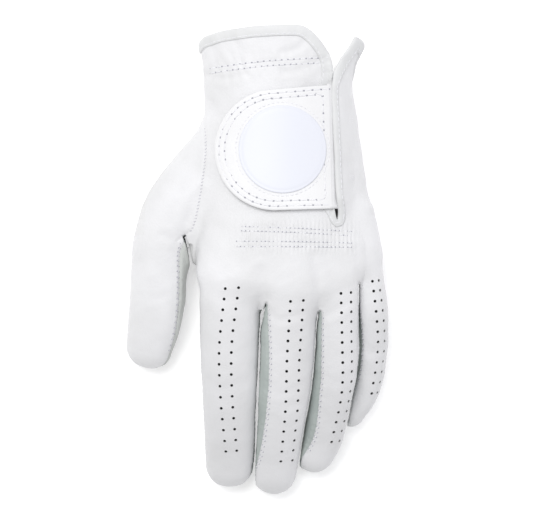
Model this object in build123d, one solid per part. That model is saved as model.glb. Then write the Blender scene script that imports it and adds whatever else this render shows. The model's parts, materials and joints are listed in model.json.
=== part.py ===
"""A golfer's left-hand glove, lying palm down and filled as if worn, fingers towards -Y and thumb towards -X.

The glove is sewn from thin leather: a back, a palm, a set-in thumb, and side strips (fourchettes) between the
fingers. The cuff has a slit in the back, closed by a hook-and-loop tab that peels up about its sewn end. Elastic
tapes gather the back at the wrist and at the knuckles. Bindings cover the cuff's edge and the slit's edges.

Leather is one flexible piece in each panel. Here each finger is divided at its base and at its middle joint, so
that it can bend: the joint's axis runs along X through the palm-side leather, and the two sides of the joint stand
apart on the back, by the angle that the finger can straighten. Units are millimetres; +Z is up; z = 0 is the table.
"""

from build123d import *
from math import atan2, cos, degrees, hypot, radians, sin, tan
import os

# ---- leather and layers ----
LEATHER = 0.8            # thickness of a leather wall
LOOP_PILE = 0.8          # loop patch on the back of the hand
PEEL_GAP = 0.3           # between the loop patch and the hook patch
HOOK_PATCH = 0.8
TAB_LEATHER = 1.2
MEDALLION = 0.5          # round sewn patch on the tab
TAPE = 0.7               # elastic tape inside the back
BINDING_LIP = 0.6        # how far the binding stands off the leather, on each side
BINDING_WIDTH = 4.6

# ---- hand: stations along Y, as (y, centre x, centre z, half width, half height, roll towards the little finger) ----
HAND_STATIONS = [
    (113.5, 12.0, 19.5, 39.5, 17.0, 0),
    (92.0, 10.0, 18.5, 36.2, 16.5, 0),
    (66.0, 11.5, 17.5, 37.0, 18.0, 2),
    (36.0, 14.0, 18.5, 41.0, 19.0, 4),
    (6.0, 16.5, 23.5, 44.5, 16.5, 5),
    (-12.0, 17.5, 26.0, 44.5, 13.5, 6),
    (-28.0, 17.5, 26.5, 43.5, 12.5, 6),
]
SIDE_LEAN = 4.0          # degrees by which the line where back and palm part leans to the little-finger side
FLAT_SINK = 0.8          # how deep the palm's leather would reach below the table if it weren't pressed flat

# The cuff's edge, seen from above, from the thumb side to the little-finger side: on the back, and on the palm,
# where it is cut away under the slit.
CUFF_EDGE_BACK = [(-45, 103.5), (-28, 105.8), (-4, 109.6), (20, 111.6), (38, 110.6), (51, 107.6), (65, 104)]
CUFF_EDGE_PALM = [
    (-45, 103.5), (-26, 106.0), (-8, 101.0), (14, 91.5), (32, 85.0), (40, 86.0), (45.5, 95.0), (49.5, 108), (65, 104),
]
# The slit, seen from above: down its thumb-side edge to its foot, and up its little-finger-side edge.
SLIT_THUMB_SIDE = [(25.0, 120), (28.0, 109), (35.2, 88), (33.0, 78), (32.6, 36), (34.6, 25)]
SLIT_FOOT = (38.0, 18.5)
SLIT_LITTLE_SIDE = [(38.7, 25), (38.4, 58), (37.2, 84), (42.4, 94), (49.0, 107), (54, 120)]
SLIT_TAPE_FOOT = 26.0    # the slit's bindings stop here, above its foot

# ---- closure tab, seen from above: a half round end towards the thumb, and a straight sewn end ----
TAB_ROUND_CENTRE = (8.6, 54.8)
TAB_ROUND_RADIUS = 30.4
TAB_ROOT = [(34.2, 85.2), (35.8, 24.4)]  # the line where the tab bends down through the slit
MEDALLION_CENTRE = (11.6, 53.8)
MEDALLION_RADIUS = 21.0
LOOP_MARGIN = 8.0        # the loop and hook patches stop short of the tab's edge
ROOT_REACH = 12.5        # how far the tab's sewn end runs on under the little-finger side
ROOT_HALF_WIDTH = 20.0
ROOT_GAP = 0.3           # between the tab and its sewn end, where it bends

# ---- elastic tapes inside the back: (name, y at the thumb side, y at the little-finger side, x range, width) ----
TAPES = [
    ("wrist_elastic", 90.0, 94.4, (-24, 26.0), 6.0),
    ("knuckle_elastic_upper", 16.0, 13.2, (-7, 44), 4.0),
    ("knuckle_elastic_lower", 8.4, 7.2, (-9, 44), 4.0),
]

# ---- digits ----
# Each one: base joint, middle joint and tip on its centreline, half widths and half depths there, roll, how far each
# joint straightens and bends in degrees, and the sides that have a fourchette.
DIGITS = {
    "thumb": dict(
        base=(-47.2, 6.5, 17.0), middle=(-48.9, -19.0, 15.0), tip=(-51.4, -51.2, 8.6),
        widths=(12.9, 12.6, 9.8), depths=(10.8, 10.2, 8.0), roll=-8,
        base_range=(-8, 40), middle_range=(-8, 60), fourchettes=("little_side",),
    ),
    "index": dict(
        base=(-14.3, -25.0, 28.6), middle=(-14.6, -62.0, 25.5), tip=(-14.6, -107.8, 8.9),
        widths=(13.0, 12.8, 10.6), depths=(10.6, 10.1, 8.3), roll=0,
        base_range=(-8, 65), middle_range=(-12, 75), fourchettes=("little_side",),
    ),
    "middle": dict(
        base=(13.9, -27.0, 29.0), middle=(13.4, -64.0, 26.0), tip=(9.6, -111.5, 8.9),
        widths=(12.9, 12.4, 10.2), depths=(10.6, 10.1, 8.3), roll=0,
        base_range=(-8, 65), middle_range=(-12, 75), fourchettes=("thumb_side", "little_side"),
    ),
    "ring": dict(
        base=(37.3, -27.0, 26.0), middle=(37.3, -60.0, 22.6), tip=(30.2, -101.5, 8.7),
        widths=(9.3, 9.2, 8.0), depths=(10.0, 9.6, 8.0), roll=6,
        base_range=(-8, 65), middle_range=(-12, 75), fourchettes=("thumb_side", "little_side"),
    ),
    "little": dict(
        base=(55.7, -15.0, 20.0), middle=(55.9, -46.0, 15.5), tip=(53.0, -80.5, 8.0),
        widths=(7.2, 7.1, 6.0), depths=(8.9, 8.5, 7.2), roll=8,
        base_range=(-8, 65), middle_range=(-12, 75), fourchettes=("thumb_side",),
    ),
}
SIDE_STRIP = 3.6         # half height of a fourchette strip
JOINT_GAP = 0.4          # between the two sides of a joint, on its axis
ROUNDNESS = 0.86         # corner radius of a finger's section, as a share of its half depth
# Stations from the middle joint to the tip: (share of the length, share of the taper, size) of the rounded end.
TIP_STATIONS = [(0.62, 0.55, 1.0), (0.86, 0.9, 0.96), (0.955, 1.0, 0.76), (1.0, 1.0, 0.42)]
# The thumb's root, from inside the hand to the thumb's base joint: (centre, half width, half depth).
THUMB_ROOT = [
    ((-8.0, 66.0, 14.0), 15.0, 11.0), ((-26.5, 43.0, 15.5), 17.5, 12.5),
    ((-39.5, 24.0, 16.5), 16.5, 12.5), ((-46.6, 12.0, 17.0), 13.2, 11.0),
]
BIG = 300.0


def prism(points, low=-20.0, high=80.0):
    """The upright prism over an outline that is seen from above."""
    return Pos(0, 0, low) * extrude(make_face(Polyline(*points, close=True)), high - low)


# ---- hand ----
def hand_form(grow):
    """The hand's whole form, grown by a wall thickness outwards, or shrunk where grow is negative."""
    sections = []
    for y, x, z, a, b, roll in HAND_STATIONS:
        facing = Plane(origin=(x, y, z), x_dir=(1, 0, 0), z_dir=(0, -1, 0))
        sections.append(facing * Rot(0, 0, -roll) * Ellipse(a + grow, b + FLAT_SINK + grow))
    return loft(sections)


def thumb_root_form(grow):
    """The thumb's root: a tube that leaves the hand's side and ends at the thumb's base joint."""
    sections = []
    for i, (centre, a, b) in enumerate(THUMB_ROOT):
        after = THUMB_ROOT[min(i + 1, len(THUMB_ROOT) - 1)][0]
        before = THUMB_ROOT[max(i - 1, 0)][0]
        along = (Vector(*after) - Vector(*before)).normalized()
        if i == len(THUMB_ROOT) - 1:
            along = Vector(0, -1, 0)
        across = along.cross(Vector(0, 0, 1)).normalized() * -1
        if across.X < 0:
            across = across * -1
        facing = Plane(origin=centre, x_dir=tuple(across), z_dir=tuple(along))
        sections.append(facing * Ellipse(a + grow, b + grow))
    end = THUMB_ROOT[-1][0][1] - DIGITS["thumb"]["base"][1] - JOINT_GAP
    return loft(sections) + extrude(sections[-1], end)


def above_table(height):
    return Pos(0, 0, height + BIG / 2) * Box(BIG, BIG, BIG)


def end_outline():
    """Seen from above, the hand without its fingers: its lower edge steps at each finger's base joint."""
    base = {name: digit["base"] for name, digit in DIGITS.items()}
    ring_to_little = 47.6
    low = base["middle"][1] + JOINT_GAP
    return [
        (-30, 130), (-30, base["index"][1] + JOINT_GAP), (0, base["index"][1] + JOINT_GAP),
        (0, low), (ring_to_little, low), (ring_to_little, base["little"][1] + JOINT_GAP),
        (70, base["little"][1] + JOINT_GAP), (70, 130),
    ]


hand_outer = hand_form(0)
hand_inner = hand_form(-LEATHER)
root_outer = thumb_root_form(0)
root_inner = thumb_root_form(-LEATHER)
back_cut = prism([*CUFF_EDGE_BACK, (70, -60), (-70, -60)])
palm_cut = prism([*CUFF_EDGE_PALM, (70, -60), (-70, -60)])
hand_outline = prism(end_outline())
slit = prism([*SLIT_THUMB_SIDE, SLIT_FOOT, *SLIT_LITTLE_SIDE])

hand_shell = (hand_outer & above_table(0)) - (hand_inner & above_table(LEATHER)) - root_inner
hand_shell = hand_shell & hand_outline
root_shell = (root_outer & above_table(0)) - (root_inner & above_table(LEATHER)) - hand_outer


def largest(shape):
    """The largest solid of a shape, without the crumbs that a cut can leave."""
    return max(shape.solids(), key=lambda s: s.volume)


def below_side_line():
    """Everything below the surface where back and palm part: it follows the hand's centre and leans with its roll."""
    reach, depth, lean = 100.0, 60.0, tan(radians(SIDE_LEAN))
    line = [(y, z + lean * (x + reach)) for y, x, z, _, _, _ in HAND_STATIONS]
    line = [(line[0][0] + 20, line[0][1]), *line, (line[-1][0] - 20, line[-1][1])]
    corners = [(-reach, y, z) for y, z in line] + [(-reach, line[-1][0], -depth), (-reach, line[0][0], -depth)]
    return extrude(make_face(Polyline(*corners, close=True)), 2 * reach, dir=(1, 0, -lean))


lower_half = below_side_line()

parts = {}
parts["back_of_hand"] = largest((hand_shell & back_cut) - lower_half - slit)
parts["palm"] = largest(hand_shell & lower_half & palm_cut)
parts["thumb_root_back"] = largest(root_shell - lower_half)
parts["thumb_root_palm"] = largest(root_shell & lower_half)


# ---- tab, patches and tapes: layers over or under the back ----
def layer(low, high, outline, low_z=16.0):
    """A layer of the hand's form between two heights over its leather, cut to an outline seen from above."""
    return largest((hand_form(high) - hand_form(low)) & prism(outline, low=low_z))


def tab_outline(margin):
    """The tab's outline: a half circle towards the thumb, and straight sides to its sewn end."""
    x, y = TAB_ROUND_CENTRE
    r = TAB_ROUND_RADIUS - margin
    arc = [(x - r * sin(radians(t)), y + r * cos(radians(t))) for t in range(0, 181, 10)]
    (x_high, _), (x_low, _) = TAB_ROOT
    return [(x_high - margin, y + r), *arc, (x_low - margin, y - r)]


def disc_outline(centre, radius):
    return [(centre[0] + radius * cos(radians(t)), centre[1] + radius * sin(radians(t))) for t in range(0, 360, 10)]


loop_top = LOOP_PILE
hook_low = loop_top + PEEL_GAP
hook_top = hook_low + HOOK_PATCH
tab_top = hook_top + TAB_LEATHER
parts["loop_patch"] = layer(0, loop_top, tab_outline(LOOP_MARGIN))
parts["hook_patch"] = layer(hook_low, hook_top, tab_outline(LOOP_MARGIN))
parts["closure_tab"] = layer(hook_top, tab_top, tab_outline(0))
parts["tab_medallion"] = layer(tab_top, tab_top + MEDALLION, disc_outline(MEDALLION_CENTRE, MEDALLION_RADIUS))


def tab_root():
    """The tab's sewn end: it comes down through the slit and runs on under the little-finger side."""
    under = -LEATHER - BINDING_LIP
    (x_high, y_high), (x_low, y_low) = TAB_ROOT
    slope = (x_high - x_low) / (y_high - y_low)
    ends = [TAB_ROUND_CENTRE[1] + sign * ROOT_HALF_WIDTH for sign in (-1, 1)]
    line = [(x_low + ROOT_GAP + slope * (y - y_low), y) for y in ends]

    def strip(width):
        return [*line, *((x + width, y) for x, y in reversed(line))]

    down = layer(under - TAB_LEATHER, tab_top, strip(TAB_LEATHER), low_z=10.0)
    return down + layer(under - TAB_LEATHER, under, strip(ROOT_REACH), low_z=10.0)


parts["tab_root"] = tab_root()
for name, y_thumb, y_little, (x0, x1), width in TAPES:
    half = width / 2
    parts[name] = layer(
        -LEATHER - TAPE, -LEATHER,
        [(x0, y_thumb - half), (x1, y_little - half), (x1, y_little + half), (x0, y_thumb + half)],
    )

# ---- bindings: a folded tape over an edge, so a thick ring with the leather taken out of it ----
folded = LEATHER + BINDING_LIP
leather_walls = (hand_outer & above_table(0)) - (hand_inner & above_table(LEATHER))
binding_form = (hand_form(BINDING_LIP) & above_table(0)) - (hand_form(-folded) & above_table(folded))


def band(edge):
    """The stretch along a cuff edge that its binding covers, as a prism."""
    low = [(x, y - BINDING_WIDTH + BINDING_LIP) for x, y in edge]
    return prism([*((x, y + BINDING_LIP) for x, y in edge), *reversed(low)])


back_band = (binding_form & band(CUFF_EDGE_BACK)) - lower_half - (leather_walls & back_cut) - slit
palm_band = (binding_form & band(CUFF_EDGE_PALM) & lower_half) - (leather_walls & palm_cut)
parts["cuff_binding"] = largest(back_band + palm_band)
below_cuff = [(x, y - BINDING_WIDTH + BINDING_LIP) for x, y in CUFF_EDGE_BACK]
below_cuff = prism([*below_cuff, (70, SLIT_TAPE_FOOT), (-70, SLIT_TAPE_FOOT)], low=22.0)
for side, edge, sign in (("thumb_side", SLIT_THUMB_SIDE, 1), ("little_side", SLIT_LITTLE_SIDE, -1)):
    inner_line = [(x - sign * (BINDING_WIDTH - BINDING_LIP), y) for x, y in edge]
    outer_line = [(x + sign * BINDING_LIP, y) for x, y in edge]
    tape = binding_form & prism([*inner_line, *reversed(outer_line)], low=22.0) & below_cuff
    parts[f"slit_binding_{side}"] = largest(tape - parts["back_of_hand"])


# ---- digits ----
def rolled_depth(a, b, roll):
    """How far a rolled section reaches from its centre towards the palm."""
    corner = ROUNDNESS * min(a, b)
    return (a - corner) * abs(sin(radians(roll))) + (b - corner) * cos(radians(roll)) + corner


def tilted_plane(centre, pitch):
    """The plane of a section that faces along a finger which descends by pitch degrees."""
    p = radians(pitch)
    return Plane(origin=centre, x_dir=(1, 0, 0), z_dir=(0, -cos(p), -sin(p)))


def over_axis(axis_point, depth, pitch, gap):
    """The centre of a tilted section that stands on a joint's axis, gap to the finger's side of it."""
    p = radians(pitch)
    x, y, z = axis_point
    return (x, y - depth * sin(p) - gap, z + depth * cos(p))


def section(centre, a, b, pitch, roll, shrink):
    """A finger's rounded section, shrunk by shrink all round."""
    a, b = a - shrink, b - shrink
    return tilted_plane(centre, pitch) * Rot(0, 0, -roll) * RectangleRounded(2 * a, 2 * b, ROUNDNESS * min(a, b))


def mix(p, q, t):
    return tuple(u + (v - u) * t for u, v in zip(p, q))


def descent(p, q):
    """The angle, in degrees, by which the way from p to q descends."""
    return degrees(atan2(p[2] - q[2], p[1] - q[1]))


def joints_of(digit):
    """The digit's two joint axes (a point on each) and the pitch of the plane that each one is cut on."""
    (a0, a1, _), (b0, b1, _), roll = digit["widths"], digit["depths"], digit["roll"]
    middle_pitch = (descent(digit["base"], digit["middle"]) + descent(digit["middle"], digit["tip"])) / 2
    d0, d1 = rolled_depth(a0, b0, roll), rolled_depth(a1, b1, roll)
    x0, y0, z0 = digit["base"]
    x1, y1, z1 = digit["middle"]
    p = radians(middle_pitch)
    base_axis = (x0, y0, z0 - d0)
    middle_axis = (x1, y1 + d1 * sin(p), z1 - d1 * cos(p))
    return base_axis, middle_axis, middle_pitch


def stall_sections(digit, shrink):
    """Sections of the two lengths of a finger's stall: base joint to middle joint, and middle joint to tip."""
    widths, depths, roll = digit["widths"], digit["depths"], digit["roll"]
    base_axis, middle_axis, pitch = joints_of(digit)
    d0, d1 = (rolled_depth(a, b, roll) for a, b in zip(widths[:2], depths[:2]))
    straighten0, straighten1 = -digit["base_range"][0] + 1.0, (-digit["middle_range"][0] + 1.0) / 2
    first = [
        section(over_axis(base_axis, d0, straighten0, JOINT_GAP), widths[0], depths[0], straighten0, roll, shrink),
        section(over_axis(middle_axis, d1, pitch - straighten1, -JOINT_GAP / 2), widths[1], depths[1], pitch - straighten1, roll, shrink),
    ]
    start = over_axis(middle_axis, d1, pitch + straighten1, JOINT_GAP / 2)
    second = [section(start, widths[1], depths[1], pitch + straighten1, roll, shrink)]
    end_pitch = descent(digit["middle"], digit["tip"])
    for share, taper, size in TIP_STATIONS:
        if shrink and share == 1.0:
            share -= shrink / hypot(*(u - v for u, v in zip(digit["middle"], digit["tip"])))
        a = (widths[1] + (widths[2] - widths[1]) * taper) * size
        b = (depths[1] + (depths[2] - depths[1]) * taper) * size
        second.append(section(mix(digit["middle"], digit["tip"], share), a, b, end_pitch, roll, shrink))
    return first, second


def split_stall(name, length, tube, start, end, roll, fourchettes):
    """Parts a stall's tube into its back, its palm and its fourchettes, by planes along the finger."""
    along = (Vector(*end) - Vector(*start)).normalized()
    across = (Vector(1, 0, 0) - along * along.X).normalized()
    up = across.cross(along) * -1
    if up.Z < 0:
        up = up * -1
    r = radians(roll)
    tilted_across = across * cos(r) - up * sin(r)
    frame = Plane(origin=mix(start, end, 0.5), x_dir=tuple(tilted_across), z_dir=tuple(across * sin(r) + up * cos(r)))
    high = frame * Pos(0, 0, SIDE_STRIP + 30) * Box(80, 160, 60)
    low = frame * Pos(0, 0, -SIDE_STRIP - 30) * Box(80, 160, 60)
    back, palm = tube & high, tube & low
    for side, sign in (("thumb_side", -1), ("little_side", 1)):
        strip = tube & (frame * Pos(sign * 40, 0, 0) * Box(80, 160, 2 * SIDE_STRIP))
        if side in fourchettes:
            parts[f"{name}_fourchette_{side}_{length}"] = largest(strip)
        else:
            back = back + strip
    parts[f"{name}_back_{length}"] = largest(back)
    parts[f"{name}_palm_{length}"] = largest(palm)


for name, digit in DIGITS.items():
    outer, inner = stall_sections(digit, 0.0), stall_sections(digit, LEATHER)
    ends = (digit["base"], digit["middle"], digit["tip"])
    for i, length in enumerate(("lower", "upper")):
        tube = loft(outer[i], ruled=True) - loft(inner[i], ruled=True)
        split_stall(name, length, tube, ends[i], ends[i + 1], digit["roll"], digit["fourchettes"])

# ---- write ----
os.makedirs("parts", exist_ok=True)
for node, shape in parts.items():
    export_step(shape, f"parts/{node}.step")
boxes = [shape.bounding_box() for shape in parts.values()]
print("length", max(b.max.Y for b in boxes) - min(b.min.Y for b in boxes))
print("width", max(b.max.X for b in boxes) - min(b.min.X for b in boxes))
print("height", max(b.max.Z for b in boxes) - min(b.min.Z for b in boxes))
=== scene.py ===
"""A golfer's left-hand glove in white leather, seen from above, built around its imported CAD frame.

The leather is one surface, taken from a distance field: the hand, the swell at the thumb's root and five
stalls. It is cut along its seams into the panels that the real glove is sewn from, gathered and creased, and
given its thickness. Threads, bindings, the closure tab and its patches are laid on it. Lengths are
millimetres until a mesh is made; every mesh is in metres.
"""

import json
import math
import bpy
import numpy as np
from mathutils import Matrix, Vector
from mathutils.kdtree import KDTree


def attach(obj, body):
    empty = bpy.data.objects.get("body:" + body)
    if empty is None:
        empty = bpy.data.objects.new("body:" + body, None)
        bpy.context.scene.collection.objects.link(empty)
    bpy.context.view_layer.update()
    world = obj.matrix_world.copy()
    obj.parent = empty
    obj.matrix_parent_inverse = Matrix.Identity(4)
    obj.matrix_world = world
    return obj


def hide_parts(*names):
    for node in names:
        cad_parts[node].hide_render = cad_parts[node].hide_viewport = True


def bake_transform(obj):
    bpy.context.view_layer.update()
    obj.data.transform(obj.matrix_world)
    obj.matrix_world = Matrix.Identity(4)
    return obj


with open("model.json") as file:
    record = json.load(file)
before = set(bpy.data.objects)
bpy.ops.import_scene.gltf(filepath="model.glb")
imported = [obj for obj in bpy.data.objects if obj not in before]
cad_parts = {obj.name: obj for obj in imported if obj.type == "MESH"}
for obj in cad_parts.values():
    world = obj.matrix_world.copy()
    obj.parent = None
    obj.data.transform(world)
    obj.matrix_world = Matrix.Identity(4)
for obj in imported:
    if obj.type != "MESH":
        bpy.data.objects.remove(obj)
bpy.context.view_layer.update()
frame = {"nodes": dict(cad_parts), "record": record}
MM = 0.001
STEP = 0.8           # size of the surface's cells
LEATHER = 0.7                               # thickness of the leather
FAR = 99.0                                  # further than anything on the glove

JOINTS = {j["name"]: j for j in frame["record"]["behaviour"]["joints"]}


def joint_point(name):
    return np.array(JOINTS[name]["pos_m"]) / MM


# ---------------------------------------------------------------- curves and fields
def unit(vectors):
    """Vectors, one in each row, scaled to length one."""
    return vectors / np.maximum(np.linalg.norm(vectors, axis=1), 1e-9)[:, None]


def hermite(t, at, values):
    """A smooth curve through values at the given stations."""
    at, values = np.asarray(at, float), np.asarray(values, float)
    if at[0] > at[-1]:
        at, values = at[::-1], values[::-1]
    slopes = np.gradient(values, at, axis=0)
    i = np.clip(np.searchsorted(at, t) - 1, 0, len(at) - 2)
    h = at[i + 1] - at[i]
    u = np.clip((t - at[i]) / h, 0, 1)
    if values.ndim > 1:
        h, u = h[..., None], u[..., None]
    rise = values[i + 1] - values[i]
    return (
        values[i]
        + u * u * (3 - 2 * u) * rise
        + u * (1 - u) ** 2 * h * slopes[i]
        - u * u * (1 - u) * h * slopes[i + 1]
    )


def smoothstep(v, low, high):
    t = np.clip((v - low) / (high - low), 0, 1)
    return t * t * (3 - 2 * t)


def smooth_min(p, q, reach):
    h = np.clip(0.5 + 0.5 * (q - p) / reach, 0, 1)
    return q + (p - q) * h - reach * h * (1 - h)


def smooth_max(p, q, reach):
    return -smooth_min(-p, -q, reach)


# The hand, as (y, centre x, centre z, half width, half height, roll towards the little finger in degrees).
HAND = [
    (126.0, 12.6, 19.8, 41.0, 17.2, 0), (113.5, 12.0, 19.5, 40.0, 17.0, 0),
    (104.0, 11.6, 19.1, 39.6, 16.8, 0), (96.0, 10.3, 18.7, 37.0, 16.6, 0),
    (88.0, 10.0, 18.3, 35.8, 16.6, 0.5), (66.0, 11.4, 17.5, 36.8, 18.0, 2),
    (36.0, 13.0, 18.5, 39.6, 19.0, 4), (6.0, 15.3, 23.5, 43.3, 16.5, 5),
    (-12.0, 16.5, 26.0, 44.4, 13.5, 6), (-28.0, 17.5, 26.5, 43.5, 12.5, 6),
]
TABLE_GAP = 0.02                            # the leather lies on the table, not in it
FLAT_SINK = 0.8                             # how much deeper the hand is than the table lets it be
THUMB_WEB = [4.8, 13.5, 8.0]                # half sizes of the swell of leather between thumb and hand
THUMB_WEB_AT = (-28.6, 12.0, 17.5)
WEB_FILLET = 6.0
HAND_END = [(-32, -4), (0, -8), (28, -12), (47, -2), (64, 6)]   # where the knuckles round off, (x, y)
END_REACH = 13.0                            # length of that rounding
EDGE_ROUND = 0.8                            # rounding where the skin meets the table, or a gap

# Each digit: its centreline from inside the hand to its tip, as (x, y, z, half width, half depth).
DIGITS = {
    "thumb": [
        (-6, 66, 14.5, 14, 11.5), (-26.2, 43, 15.5, 15.5, 12.8), (-39.6, 24, 16.8, 15.8, 13),
        (-46.2, 8, 17, 13.8, 11.6), (-47.4, -6, 16.4, 13.4, 10.9), (-48.3, -20, 15, 13.1, 10.4),
        (-50.6, -34, 12.2, 12.3, 9.4), (-52.4, -41.6, 9.8, 11.4, 8.7),
    ],
    "index": [
        (-12.5, 6, 25.5, 13.5, 11), (-13.3, -12, 27.8, 13.9, 11), (-13.1, -27, 28.4, 14.2, 10.8),
        (-13.0, -42, 27.8, 13.9, 10.5), (-13.1, -62, 25.0, 13.2, 10.1), (-13.1, -80, 19.4, 12.3, 9.5),
        (-13.4, -92, 13.8, 11.7, 8.9), (-13.6, -98.2, 11.2, 11.2, 8.6),
    ],
    "middle": [
        (14.5, 4, 26, 13, 11), (14.6, -14, 28.4, 13, 11), (14.4, -28, 28.9, 13.8, 10.8),
        (13.7, -44, 28.2, 14.0, 10.5), (12.1, -64, 25.2, 13.3, 10.1), (10.0, -84, 18.6, 12.1, 9.4),
        (8.8, -95, 13.4, 11.2, 8.8), (8.0, -101.2, 11.2, 10.7, 8.4),
    ],
    "ring": [
        (40, 6, 24, 11, 10.5), (39, -12, 25.8, 10.4, 10.4), (38.0, -27, 26, 10.5, 10.2),
        (37.6, -42, 25.2, 10.7, 9.9), (36.4, -58, 22.8, 11.0, 9.5), (33.9, -71, 18.6, 10.5, 9),
        (31.0, -84, 13.6, 9.9, 8.4), (27.6, -92.6, 10.4, 9.4, 8.0),
    ],
    "little": [
        (49.0, 22, 19.5, 6.6, 9.0), (51.6, 6, 20.3, 7.0, 9.2), (54.0, -12, 19.8, 7.3, 8.9),
        (55.4, -28, 18.4, 7.2, 8.7), (55.5, -41, 16.2, 7.2, 8.4), (54.0, -54, 13, 7.2, 7.9),
        (50.2, -65, 10.2, 7.0, 7.4), (46.0, -72.2, 8.6, 6.5, 7.0),
    ],
}
# Length of each tip's rounding.
CAP = {"thumb": 10.0, "index": 11.0, "middle": 11.5, "ring": 9.4, "little": 7.8}
ROUND = 2.35                                # exponent of a digit's section: 2 is an ellipse
# Size of the fillet where each digit grows out of the hand.
FILLET = {"thumb": 7.0, "index": 6.0, "middle": 6.0, "ring": 6.0, "little": 5.0}
# Crotches between neighbours: where each starts, and the line that it follows, as (y, x) stations.
CROTCHES = {
    ("thumb", "index"): [(13.0, -35.0), (4.0, -32.6), (-10.0, -31.0), (-60.0, -31.0)],
    ("index", "middle"): [
        (-19.2, 4.2), (-25.0, 2.8), (-32.0, 1.4), (-42.0, 1.0), (-66.0, 0.0), (-112.0, -1.6),
    ],
    ("middle", "ring"): [
        (-23.0, 29.2), (-30.0, 28.2), (-40.0, 27.6), (-60.0, 25.6), (-84.0, 21.8), (-112.0, 18.0),
    ],
    ("ring", "little"): [
        (-9.6, 48.4), (-28.0, 48.4), (-48.0, 48.5), (-57.0, 47.2), (-66.0, 45.4), (-80.0, 42.8),
        (-95.0, 40.0),
    ],
}
CROTCH_HALF_GAP = 0.45
# The Y of each stall's first row: the digits' own skin starts there.
CUTS = {"thumb": 9.5, "index": -22.5, "middle": -26.0, "ring": -26.0, "little": -13.5}


class Line:
    """A digit's centreline, with its widths and its frames, sampled evenly."""

    def __init__(self, stations, count=160):
        stations = np.asarray(stations, float)
        lengths = np.linalg.norm(np.diff(stations[:, :3], axis=0), axis=1)
        at = np.concatenate([[0], np.cumsum(lengths)])
        self.length = at[-1]
        self.t = np.linspace(0, self.length, count)
        table = hermite(self.t, at, stations)
        self.centre, self.a, self.b = table[:, :3], table[:, 3], table[:, 4]
        self.along = unit(np.gradient(self.centre, self.t, axis=0))
        self.side = unit(np.stack([-self.along[:, 1], self.along[:, 0], np.zeros(count)], 1))
        self.up = np.cross(self.along, self.side)

    def at(self, values, t):
        if values.ndim == 1:
            return np.interp(t, self.t, values)
        return np.stack([np.interp(t, self.t, values[:, k]) for k in range(values.shape[1])], 1)

    def nearest(self, points):
        """How far along the line each point is."""
        t = np.interp(-points[:, 1], -self.centre[:, 1], self.t)
        for _ in range(4):
            gap = points - self.at(self.centre, t)
            t = np.clip(t + (gap * self.at(self.along, t)).sum(1), 0, self.length)
        return t

    def local(self, points):
        """(distance along, offsets along, aside and up, half width, half depth) of each point."""
        t = self.nearest(points)
        gap = points - self.at(self.centre, t)
        parts = [(gap * self.at(f, t)).sum(1) for f in (self.along, self.side, self.up)]
        return (t, *parts, self.at(self.a, t), self.at(self.b, t))

    def angle(self, points):
        """Angle round the digit, in degrees from the top towards the little finger, and the mean radius."""
        _, _, aside, up, a, b = self.local(points)
        return np.degrees(np.arctan2(aside / a, up / b)), (a + b) / 2


LINES = {name: Line(stations) for name, stations in DIGITS.items()}


def oval(parts, radii, exponent):
    """Distance, near the surface, from an oval whose radii are given."""
    scaled = [np.abs(p) / r + 1e-9 for p, r in zip(parts, radii)]
    r = sum(s**exponent for s in scaled) ** (1 / exponent)
    slope = np.sqrt(sum(((s / r) ** (exponent - 1) / q) ** 2 for s, q in zip(scaled, radii)))
    return (r - 1) / slope


def hand_field(points):
    """Distance from the hand: an oval section that changes along Y, flat on the table."""
    x, y, z = points.T
    cx, cz, a, b, roll = hermite(y, [s[0] for s in HAND], [s[1:] for s in HAND]).T
    c, s = np.cos(np.radians(roll)), np.sin(np.radians(roll))
    dx, dz = x - cx, z - cz
    end = np.maximum(np.interp(x, [p[0] for p in HAND_END], [p[1] for p in HAND_END]) - y, 0)
    radii = (a, b + FLAT_SINK, np.full_like(y, END_REACH))
    d = oval((dx * c - dz * s, dx * s + dz * c, end), radii, 2.0)
    web = [p - middle for p, middle in zip((x, y, z), THUMB_WEB_AT)]
    return smooth_max(smooth_min(d, oval(web, THUMB_WEB, 2.0), WEB_FILLET), -z, EDGE_ROUND)


def digit_field(name, points):
    line = LINES[name]
    _, along, aside, up, a, b = line.local(points)
    return smooth_max(capsule(name, along, aside, up, a, b), -points[:, 2], EDGE_ROUND)


def capsule(name, along, aside, up, a, b):
    """Distance from a digit: a rounded section, and an elliptical tip."""
    flat = (np.abs(aside / a) ** ROUND + np.abs(up / b) ** ROUND + 1e-9) ** (1 / ROUND)
    cap = np.full_like(a, CAP[name])
    return oval((along, flat * np.sqrt(a * b)), (cap, np.sqrt(a * b)), 2.0)


def crotch_field(pair, points):
    """Distance from the thin gap between two neighbours."""
    ys, xs = zip(*CROTCHES[pair])
    centre = hermite(points[:, 1], ys, xs)
    return smooth_max(np.abs(points[:, 0] - centre) - CROTCH_HALF_GAP, points[:, 1] - ys[0], 1.2)


def parted(field, points, name=None):
    """A field cut by the gaps beside one digit, or by all of them."""
    for pair in CROTCHES:
        if name is None or name in pair:
            field = smooth_max(field, -crotch_field(pair, points), EDGE_ROUND)
    return field


def with_digit(name, points, palm):
    """The hand with one digit on it, cut by the gaps beside that digit."""
    return parted(smooth_min(palm, digit_field(name, points), FILLET[name]), points, name)


def oval_of(name, points):
    """A stall's own distance, cut by the gaps beside it."""
    _, *local = LINES[name].local(points)
    return parted(capsule(name, *local), points, name)


def glove_field(points):
    """The hand with all its digits on it."""
    palm = hand_field(points)
    field = parted(palm, points)
    for name in DIGITS:
        field = np.minimum(field, with_digit(name, points, palm))
    return field


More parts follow.
